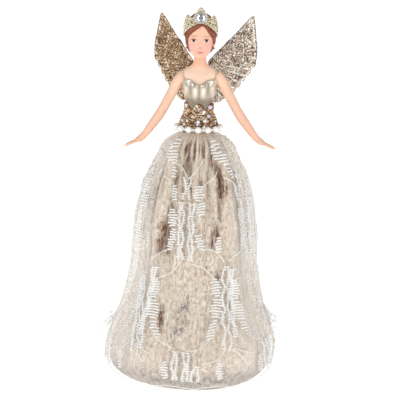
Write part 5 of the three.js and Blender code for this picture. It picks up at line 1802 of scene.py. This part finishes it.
crown_turns = np.linspace(-crown_span, crown_span, crown_columns)
crown_climb = np.linspace(0, 1, crown_rows)
crown_section = [(rise, crown_thickness) for rise in crown_climb]
crown_section += [(rise, 0) for rise in crown_climb[::-1]]
crown_rings = np.stack([crown_point(crown_turns, rise, depth) for rise, depth in crown_section], axis=1)
crown_plate = capped_piece("crown_plate", crown_rings, glitter)
piercing_places = [(side * turn, rise) for side in (-1, 1) for turn, rise in piercing_shares]
piercings = []
for turn, rise in piercing_places:
    ends = crown_point(turn, rise, np.array([-drill_past, crown_thickness + drill_past]))
    piercings.append(rod_form(*ends, piercing_radius, 18))
drill = one_form("piercings", piercings, glitter)
cut = crown_plate.modifiers.new("pierce", "BOOLEAN")
cut.operation = "DIFFERENCE"
cut.solver = "EXACT"
cut.object = drill
pierced = as_made(crown_plate)
crown_plate.modifiers.clear()
crown_plate.data = pierced
bpy.data.objects.remove(drill)
settle(crown_plate, "tiara_glitter", "crown")

# Beads and stones of the crown: small balls cast along its upper and lower edges, a raised rim round
# each piercing, and tiny stones glued all over its front.
edge_turns = np.linspace(-crown_span, crown_span, crown_edge_steps)


def spaced(line, stops_at):
    """Places along a line, at the distances that a function of its length gives."""
    run = np.concatenate([[0], np.cumsum(np.linalg.norm(np.diff(line, axis=0), axis=1))])
    return np.stack([np.interp(stops_at(run[-1]), run, part) for part in line.T], axis=-1)


def evenly(line, pitch):
    """Places at an even distance along a line."""
    return spaced(line, lambda length: np.arange(0, length, pitch))


top_edge = evenly(crown_point(edge_turns, 1, crown_thickness / 2), top_bead_pitch)
low_edge = evenly(crown_point(edge_turns, 0.04, crown_thickness), low_bead_pitch)
edge_places = np.concatenate([top_edge, low_edge])
edge_sizes = [chance.uniform(0.85, 1.1) for _ in edge_places]
edge_beads = beads("crown_edge_beads", edge_places, crown_edge_bead, glitter, edge_sizes, around=10, down=6)
settle(edge_beads, "tiara_glitter")

rim_loop = np.linspace(0, 2 * np.pi, 22)
rim_radius = piercing_radius * 1.2
rim_across = rim_radius / (math.pi * (head_half + 2.2)) * np.cos(rim_loop)
rim_lines = []
for turn, rise in piercing_places:
    lobe = crown_height * np.interp(abs(turn), *np.transpose(crown_lobe_shares))
    rim_rise = rise + rim_radius * np.sin(rim_loop) / lobe
    rim_lines.append(crown_point(turn + rim_across, rim_rise, crown_thickness))
settle(threads("piercing_rims", rim_lines, rim_thread, 6, glitter), "tiara_glitter")

stone_places, stone_sizes = [], []
while len(stone_places) < stone_count:
    turn, rise = chance.uniform(-crown_span, crown_span), chance.uniform(0.08, 0.95)
    away = np.abs(np.array(piercing_shares) - [abs(turn), rise])
    if np.any((away[:, 0] < stone_clear_turn) & (away[:, 1] < stone_clear_rise)):
        continue
    stone_places.append(crown_point(turn, rise, crown_thickness + 0.05))
    stone_sizes.append(chance.uniform(0.6, 1.25))
crown_stones = beads("crown_stones", stone_places, stone_radius, glitter, stone_sizes, around=5, down=4)
crown_stones.data.polygons.foreach_set("use_smooth", [False] * len(crown_stones.data.polygons))
settle(crown_stones, "tiara_glitter")


# Crown jewel: an oval cut crystal in a silver cup with a ring of small balls round it.
gem_rise = 0.36
gem_half, gem_high_half = 3.6, 3.1
gem_sides = 16
cup_sides = 48
jewel_bead_count = 26
jewel_bead_radius = 0.55
gem_seat = crown_point(0, gem_rise, crown_thickness + 0.3)

# [share of the half width, depth out from the seat] of each ring of its facets, from the back
gem_rings_shares = [
    [0.3, 0.9], [1, 1.5], [0.97, 1.75], [0.8, 2.45], [0.52, 2.95],
]

# The same, round the section of its cup
cup_shares = [[1.22, 0], [1.22, 1.5], [1.09, 1.6], [1.06, 0.6]]


def oval_ring(share, depth, turn, sides):
    """A ring of the jewel's oval, out from its seat by a depth."""
    angle = turn + all_round(sides)
    x = gem_half * share * np.cos(angle)
    z = gem_high_half * share * np.sin(angle)
    return gem_seat + np.stack([x, np.full_like(x, -depth), z], axis=-1)


# The stone's colours are painted reflections, one tone to each facet: dark grey-blue down its middle, pale
# to white elsewhere.
crystal = Finish("cut_crystal", Roughness=0.05, Metallic=0.35, Specular_IOR_Level=0.8)
crystal_reflection = crystal.read("tint")
crystal_reflection_stops = [
    (0.0, (0.16, 0.20, 0.26)), (0.2, (0.46, 0.53, 0.60)), (0.45, (0.78, 0.84, 0.88)),
    (0.62, (0.97, 0.98, 1.0)),
]
crystal.set(Base_Color=crystal.ramp(crystal_reflection, crystal_reflection_stops, "CONSTANT"))
crystal.set(Coat_Weight=1.0, Coat_Roughness=0.02)
gem_loops = [
    oval_ring(share, depth, index % 2 * np.pi / gem_sides, gem_sides)
    for index, (share, depth) in enumerate(gem_rings_shares)
]
gem_points = np.concatenate(gem_loops)
gem_faces = []
for ring in range(len(gem_loops) - 1):
    for side in range(gem_sides):
        first = ring * gem_sides + side
        second = ring * gem_sides + (side + 1) % gem_sides
        ahead = first + gem_sides
        beside = second + gem_sides
        gem_faces.append((first, second, beside if ring % 2 else ahead))
        gem_faces.append((first if ring % 2 else second, beside, ahead))
gem_faces.append(tuple(range(gem_sides))[::-1])
gem_faces.append(tuple(range(len(gem_points) - gem_sides, len(gem_points))))
gem = face_out(piece_from("cut_jewel", gem_points, gem_faces, crystal, smooth=False))
# Painted reflection of each facet, kept on the mesh.
facet_reflections = gem.data.attributes.new("tint", "FLOAT", "FACE")
tints = []
for polygon in gem.data.polygons:
    aside = abs(polygon.center.x / millimetre)
    tints.append(0.12 * (polygon.index % 3) if aside < 1.1 else 0.5 + 0.5 * (polygon.index * 0.618 % 1.0))
facet_reflections.data.foreach_set("value", tints)
settle(gem, "gem", "crown_gem")

silver = Finish("silver", Roughness=0.22, Metallic=1.0)
silver_cloud = silver.noise(silver.place(), 1.5, 2.0)
silver.set(Base_Color=silver.mix(silver_cloud, (0.62, 0.60, 0.56), (0.85, 0.83, 0.78)))
cup_rings = [oval_ring(share, depth, 0, cup_sides) for share, depth in cup_shares]
settle(capped_piece("jewel_cup", cup_rings, silver), "silver", "gem_setting")
jewel_bead_places = oval_ring(1.3, 0.9, 0, jewel_bead_count)
jewel_beads = beads("jewel_beads", jewel_bead_places, jewel_bead_radius, silver, around=10, down=7)
settle(jewel_beads, "silver")


# Wings: stiff moulded blades of layered feathers coated in coarse glitter, each with a rolled front
# edge, and a sleeve on a tab that turns on an upright wire. The doll's right wing is the browner and
# the lower of the two, as the picture has it.
wing_width, wing_height = 47.0, 69.0
wing_thickness = 1.1
feather_step = 0.5
wing_clear = 3.73
wing_hinge_share = 0.23
hinge_apart = 3.4
sleeve_radius, sleeve_half, sleeve_bore = 1.7, 6.0, 0.9
sleeve_sides = 40
tab_length, tab_half, tab_high_half = 9, 0.55, 5.7
roll_radius = 1.0
roll_step = 1.0
# Painted light of the blade under the feathers, darkest as it lies in their shade, of the mount, and of the
# raised front roll.
blade_light, mount_light, roll_light = 0.1, 0.3, 0.45
wire_low, wire_high = corners_of("wing_wire_left")
hinge_depth = (wire_low[1] + wire_high[1]) / 2
hinge_middle = (wire_low[2] + wire_high[2]) / 2
feather_rows, feather_columns = 34, 12
tip_rows = 9
long_rows = 40
long_strips = 6
strip_columns = 8
long_tips = 3

# [share of the width, share of the height] up the smooth front edge, from the lowest feather
wing_lead_shares = [
    [0.22, 0], [0.13, 0.05], [0.08, 0.12], [0.05, 0.3], [0.08, 0.46], [0.2, 0.545], [0.4, 0.668],
    [0.62, 0.815], [0.8, 0.945], [0.9, 1],
]

# [share of the width, share of the height, how round the tip above it is] between the feather
# tips, from the wing's tip down: three along the smooth end, then seven short ones
wing_trail_shares = [
    [0.9, 1, 0], [0.935, 0.87, 0.02], [0.975, 0.71, 0.02], [0.985, 0.47, 0.1], [0.89, 0.4, 0.45],
    [0.8, 0.315, 0.45], [0.71, 0.24, 0.45], [0.615, 0.165, 0.45], [0.52, 0.1, 0.45],
    [0.4, 0.045, 0.4], [0.22, 0, 0.32],
]

# [share of the width, share of the height] where each feather starts, from the wing's tip down
wing_root_shares = [
    [0.24, 0.55], [0.19, 0.5], [0.16, 0.45], [0.13, 0.4], [0.11, 0.35], [0.1, 0.3], [0.1, 0.24],
    [0.11, 0.17],
]

# [scale across, scale up] of each row of feathers, the longest first
feather_row_shares = [
    [1, 1], [0.74, 0.76], [0.46, 0.5],
]
feather_root_share = np.array([0.08, 0.44])


def on_wing(shares, scale):
    """A place on the flat wing in millimetres, from shares of its size, for one row of feathers."""
    across, up = np.moveaxis(np.asarray(shares, float)[..., :2], -1, 0)
    x = (feather_root_share[0] + (across - feather_root_share[0]) * scale[0]) * wing_width
    z = (feather_root_share[1] + (up - feather_root_share[1]) * scale[1] - wing_hinge_share) * wing_height
    return np.stack([np.maximum(x, wing_clear), z], axis=-1)


def feather_tips(scale, steps):
    """The scalloped back edge of a row, with so many steps round each tip."""
    trail = on_wing(wing_trail_shares, scale)
    t = np.linspace(0, 1, steps + 1)[:-1, None]
    edge = []
    for first, last, (_, _, roundness) in zip(trail[:-1], trail[1:], wing_trail_shares[1:]):
        chord = last - first
        bulge = np.array([-chord[1], chord[0]]) * roundness
        curve = first * (1 - t) ** 3 + 3 * (first + bulge) * t * (1 - t) ** 2
        edge.append(curve + 3 * (last + bulge) * t**2 * (1 - t) + last * t**3)
    return np.concatenate([*edge, trail[-1:]])


def blade_form(scale, half):
    """The flat blade under a row: a closed sheet from its front edge to its scalloped back edge."""
    back = feather_tips(scale, 8)
    rows = len(back)
    front = spaced(on_wing(wing_lead_shares, scale)[::-1], lambda length: np.linspace(0, length, rows))
    across = np.linspace(0, 1, 14)[None, :, None]
    flat = (front[:, None] * (1 - across) + back[:, None] * across)[1:-1]
    upper = np.stack([flat[..., 0], np.full(flat.shape[:2], half), flat[..., 1]], axis=-1)
    lower = upper * [1, -1, 1]
    return capped(np.concatenate([upper, lower[:, ::-1]], axis=1))


def vane(flat, share, half, lift):
    """A closed vane over a flat grid of places, with raised rims and a quill, and its painted light."""
    share = share[:, None]
    place = np.linspace(-1, 1, flat.shape[1]) * np.ones_like(share)
    aside = np.abs(place)
    rim = np.maximum(hill(aside - 0.82, 0.15), hill(share - 0.955, 0.035) * (aside < 0.8))
    quill = hill(place, 0.12)
    barbs = np.sin(aside * 4 - share * 60)
    relief = half + 0.42 * rim + 0.3 * quill + 0.1 * barbs - 0.2 * (1 - np.abs(2 * aside - 1))
    thick = relief * np.clip((1 - aside) / 0.08, 0.35, 1) * np.clip((1 - share) / 0.04, 0.4, 1)
    upper = np.stack([flat[..., 0], thick + lift, flat[..., 1]], axis=-1)
    lower = (upper * [1, -1, 1])[:, ::-1]
    # Painted light: paler on the rims, the quill and the barbs, darker at the very edges where the vanes
    # lie on each other.
    light = 0.16 + 0.66 * rim + 0.3 * quill + 0.12 * barbs - 0.3 * (aside > 0.95)
    values = np.concatenate([light, light[:, ::-1]], axis=1)
    return capped(np.concatenate([upper, lower], axis=1)), [*np.ravel(values), 0.4, 0.4]


def feather_grid(root, first, last, roundness, curve):
    """The flat places of a short feather with a round tip, and their shares of its length."""
    chord = last - first
    bulge = np.array([-chord[1], chord[0]]) * roundness * 0.75
    middle = (first + last) / 2
    length = np.linalg.norm(middle + bulge - root)
    half_chord = np.linalg.norm(chord) / 2 * 1.03
    wide = chord / np.linalg.norm(chord)
    way = (middle + bulge - root) / length
    aside = np.array([way[1], -way[0]])
    wide = wide * np.sign(np.dot(aside, wide))
    tip_run = np.linalg.norm(bulge) * 1.15 / length
    straight = np.linspace(0, 1 - tip_run, feather_rows - tip_rows)
    tip = 1 - tip_run + tip_run * np.sin(np.linspace(0.15, 1, tip_rows) * np.pi / 2)
    share = np.concatenate([straight, tip])
    bow = (curve * length * np.sin(np.pi * share))[:, None]
    centre = root + way * (length * share)[:, None] + aside * bow
    growing = half_chord * (0.36 + 0.64 * np.clip(share / (1 - tip_run), 0, 1) ** 0.9)
    closing = np.clip((share - (1 - tip_run)) / tip_run, 0, 0.995)
    width = growing * np.sqrt(1 - closing**2)
    blend = np.clip(share / 0.92, 0, 1)[:, None]
    side_way = aside * (1 - blend) + wide * blend
    side_way /= np.linalg.norm(side_way, axis=1, keepdims=True)
    place = np.linspace(-1, 1, feather_columns + 1)
    return centre[:, None] + side_way[:, None] * (place * width[:, None])[..., None], share


def long_grid(scale):
    """The flat places of the long first feather, from the front edge round to its smooth tip."""
    columns = long_strips * strip_columns
    share = np.linspace(0, 1, long_rows)[:, None, None]
    across = np.linspace(0, 1, columns + 1)[:, None]
    front = spaced(on_wing(wing_lead_shares[5:], scale), lambda length: share[:, 0, 0] * length)
    root, end = on_wing(wing_root_shares[1], scale), on_wing(wing_trail_shares[long_tips], scale)
    back = root + (end - root) * share[:, 0] + [0, 2.2] * np.sin(np.pi * share[:, 0])
    patch = front[:, None] * (1 - across) + back[:, None] * across
    tips = feather_tips(scale, columns // long_tips)[: columns + 1]
    return patch + (tips - patch[-1]) * share**2


def wing_forms():
    """Every form of one wing, flat, with its hinge on the Z axis, and the painted light of each point."""
    forms, lights = [], []
    for row, scale in enumerate(feather_row_shares):
        half = wing_thickness / 2 + feather_step * row
        blade = blade_form(scale, half - 0.12)
        forms.append(blade)
        lights += [blade_light] * len(blade[0])
        whole = long_grid(scale)
        starts = range(0, long_strips * strip_columns, strip_columns)
        strips = [whole[:, start : start + strip_columns + 1] for start in starts]
        grids = [(strip, np.linspace(0, 1, long_rows)) for strip in strips]
        trail, roots = on_wing(wing_trail_shares, scale), on_wing(wing_root_shares, scale)
        for index, root in enumerate(roots[1:], 1):
            tip = index + long_tips
            ends = (root, trail[tip - 1], trail[tip])
            grids.append(feather_grid(*ends, wing_trail_shares[tip][2], 0.03 - 0.006 * index))
        for index, (flat, share) in enumerate(grids):
            form, light = vane(flat, share, half - 0.1, 0.07 * (index % 2))
            forms.append(form)
            lights += light
    return forms, lights


def sleeve_form():
    """The sleeve round the wire, with its bore open at both ends."""
    section = ((sleeve_radius, -1), (sleeve_radius, 1), (sleeve_bore, 1), (sleeve_bore, -1))
    rings = [polar(all_round(sleeve_sides), radius, end * sleeve_half) for radius, end in section]
    return np.concatenate(rings), grid_faces(len(rings), sleeve_sides, hooped=True)


def flake_finish(name, stops):
    """Coarse glitter: every flake a flat mirror of its own tone and tilt, with painted light from the mesh,
    palest on the rims.
    """
    finish = Finish(name, Metallic=0.65, Coat_Roughness=0.08)
    at = finish.place()
    flake = finish.cells(at, 1.0)
    tone, other, third = finish.split(flake.other("Color"))
    cloud = finish.noise(at, 0.16, 3.0)
    light = finish.read("light")
    # painted light kept on the mesh raises or lowers the tone
    tone = tone * 0.7 + light * 0.6 + (cloud - 0.5) * 0.9 - 0.07
    finish.set(Base_Color=finish.ramp(tone, stops, "CONSTANT"))
    finish.set(Roughness=0.18 + 0.35 * other, Coat_Weight=0.4 * other)
    finish.bump(third, 0.5)
    return finish


def turned_wing(points, side, sweep, lean, rise=1.0):
    """Points of a flat wing leant and swept to where it stands, its height scaled above the hinge."""
    points = np.array(points, float)
    points[..., 2] *= np.where(points[..., 2] > 0, rise, 1)
    x = points[..., 0] * math.cos(lean) + points[..., 2] * math.sin(lean)
    z = -points[..., 0] * math.sin(lean) + points[..., 2] * math.cos(lean)
    turn = sweep if side > 0 else math.pi - sweep
    y = x * math.sin(turn) + points[..., 1] * math.cos(turn)
    x = x * math.cos(turn) - points[..., 1] * math.sin(turn)
    return np.stack([x + side * hinge_apart, y + hinge_depth, z + hinge_middle], axis=-1)


brown_stops = [
    (0.0, (0.085, 0.04, 0.02)), (0.22, (0.26, 0.14, 0.075)), (0.42, (0.45, 0.27, 0.14)),
    (0.62, (0.66, 0.46, 0.27)), (0.82, (0.95, 0.85, 0.68)),
]
grey_stops = [
    (0.0, (0.10, 0.06, 0.04)), (0.20, (0.30, 0.21, 0.15)), (0.38, (0.50, 0.39, 0.30)),
    (0.58, (0.72, 0.62, 0.51)), (0.78, (0.96, 0.93, 0.88)),
]
brown_glitter = flake_finish("bronze_glitter", brown_stops)
grey_glitter = flake_finish("champagne_glitter", grey_stops)
blade_forms, blade_lights = wing_forms()
tab_ends = (0, tab_length), (-tab_half, tab_half), (-tab_high_half, tab_high_half)
tab = [(x, y, z) for x in tab_ends[0] for y in tab_ends[1] for z in tab_ends[2]]
tab_faces = [(0, 1, 3, 2), (4, 6, 7, 5), (0, 4, 5, 1), (2, 3, 7, 6), (0, 2, 6, 4), (1, 5, 7, 3)]
mount_forms = [(tab, tab_faces), sleeve_form()]
mount_lights = [mount_light] * sum(len(points) for points, _ in mount_forms)
lead_line = on_wing(wing_lead_shares[3:], (1, 1))
lead_line = evenly(np.stack([lead_line[:, 0], 0 * lead_line[:, 0], lead_line[:, 1]], axis=-1), roll_step)

# Each wing's side, its sweep back and lean out in radians, its height scale, its body and its glitter
for side, sweep, lean, rise, body, coat in (
    (1, 0.471, 0.045, 1.02, "wing_left", grey_glitter),
    (-1, 0.733, -0.05, 0.95, "wing_right", brown_glitter),
):
    forms = [(turned_wing(points, side, sweep, lean, rise), faces) for points, faces in blade_forms]
    forms += [(turned_wing(points, side, sweep, 0), faces) for points, faces in mount_forms]
    feathers = hold(one_form(body + "_feathers", forms, coat), "light", blade_lights + mount_lights)
    settle(feathers, "wing_glitter", body, body=body)
    roll_line = turned_wing(lead_line, side, sweep, lean, rise)
    roll = threads(body + "_front_roll", [roll_line], roll_radius, 10, coat)
    hold(roll, "light", [roll_light] * len(roll.data.vertices))
    settle(roll, "wing_glitter", body=body)

# Bracket and wires: a folded steel bracket riveted to the back of the bodice, and two upright steel
# wires fixed in its lugs, which the wings turn on.
bracket_steel = Finish("bracket_steel", Metallic=1.0, Base_Color=(0.62, 0.62, 0.63))
bracket_scuff = bracket_steel.noise(bracket_steel.stretch(bracket_steel.place(), 0.4, 0.4, 4.0), 1.0, 3.0)
bracket_steel.set(Roughness=0.28 + 0.2 * bracket_scuff)
for node in ("wing_bracket", "wing_wire_left", "wing_wire_right"):
    for kept in bpy.data.objects[node].material_slots:
        kept.material = bracket_steel.material
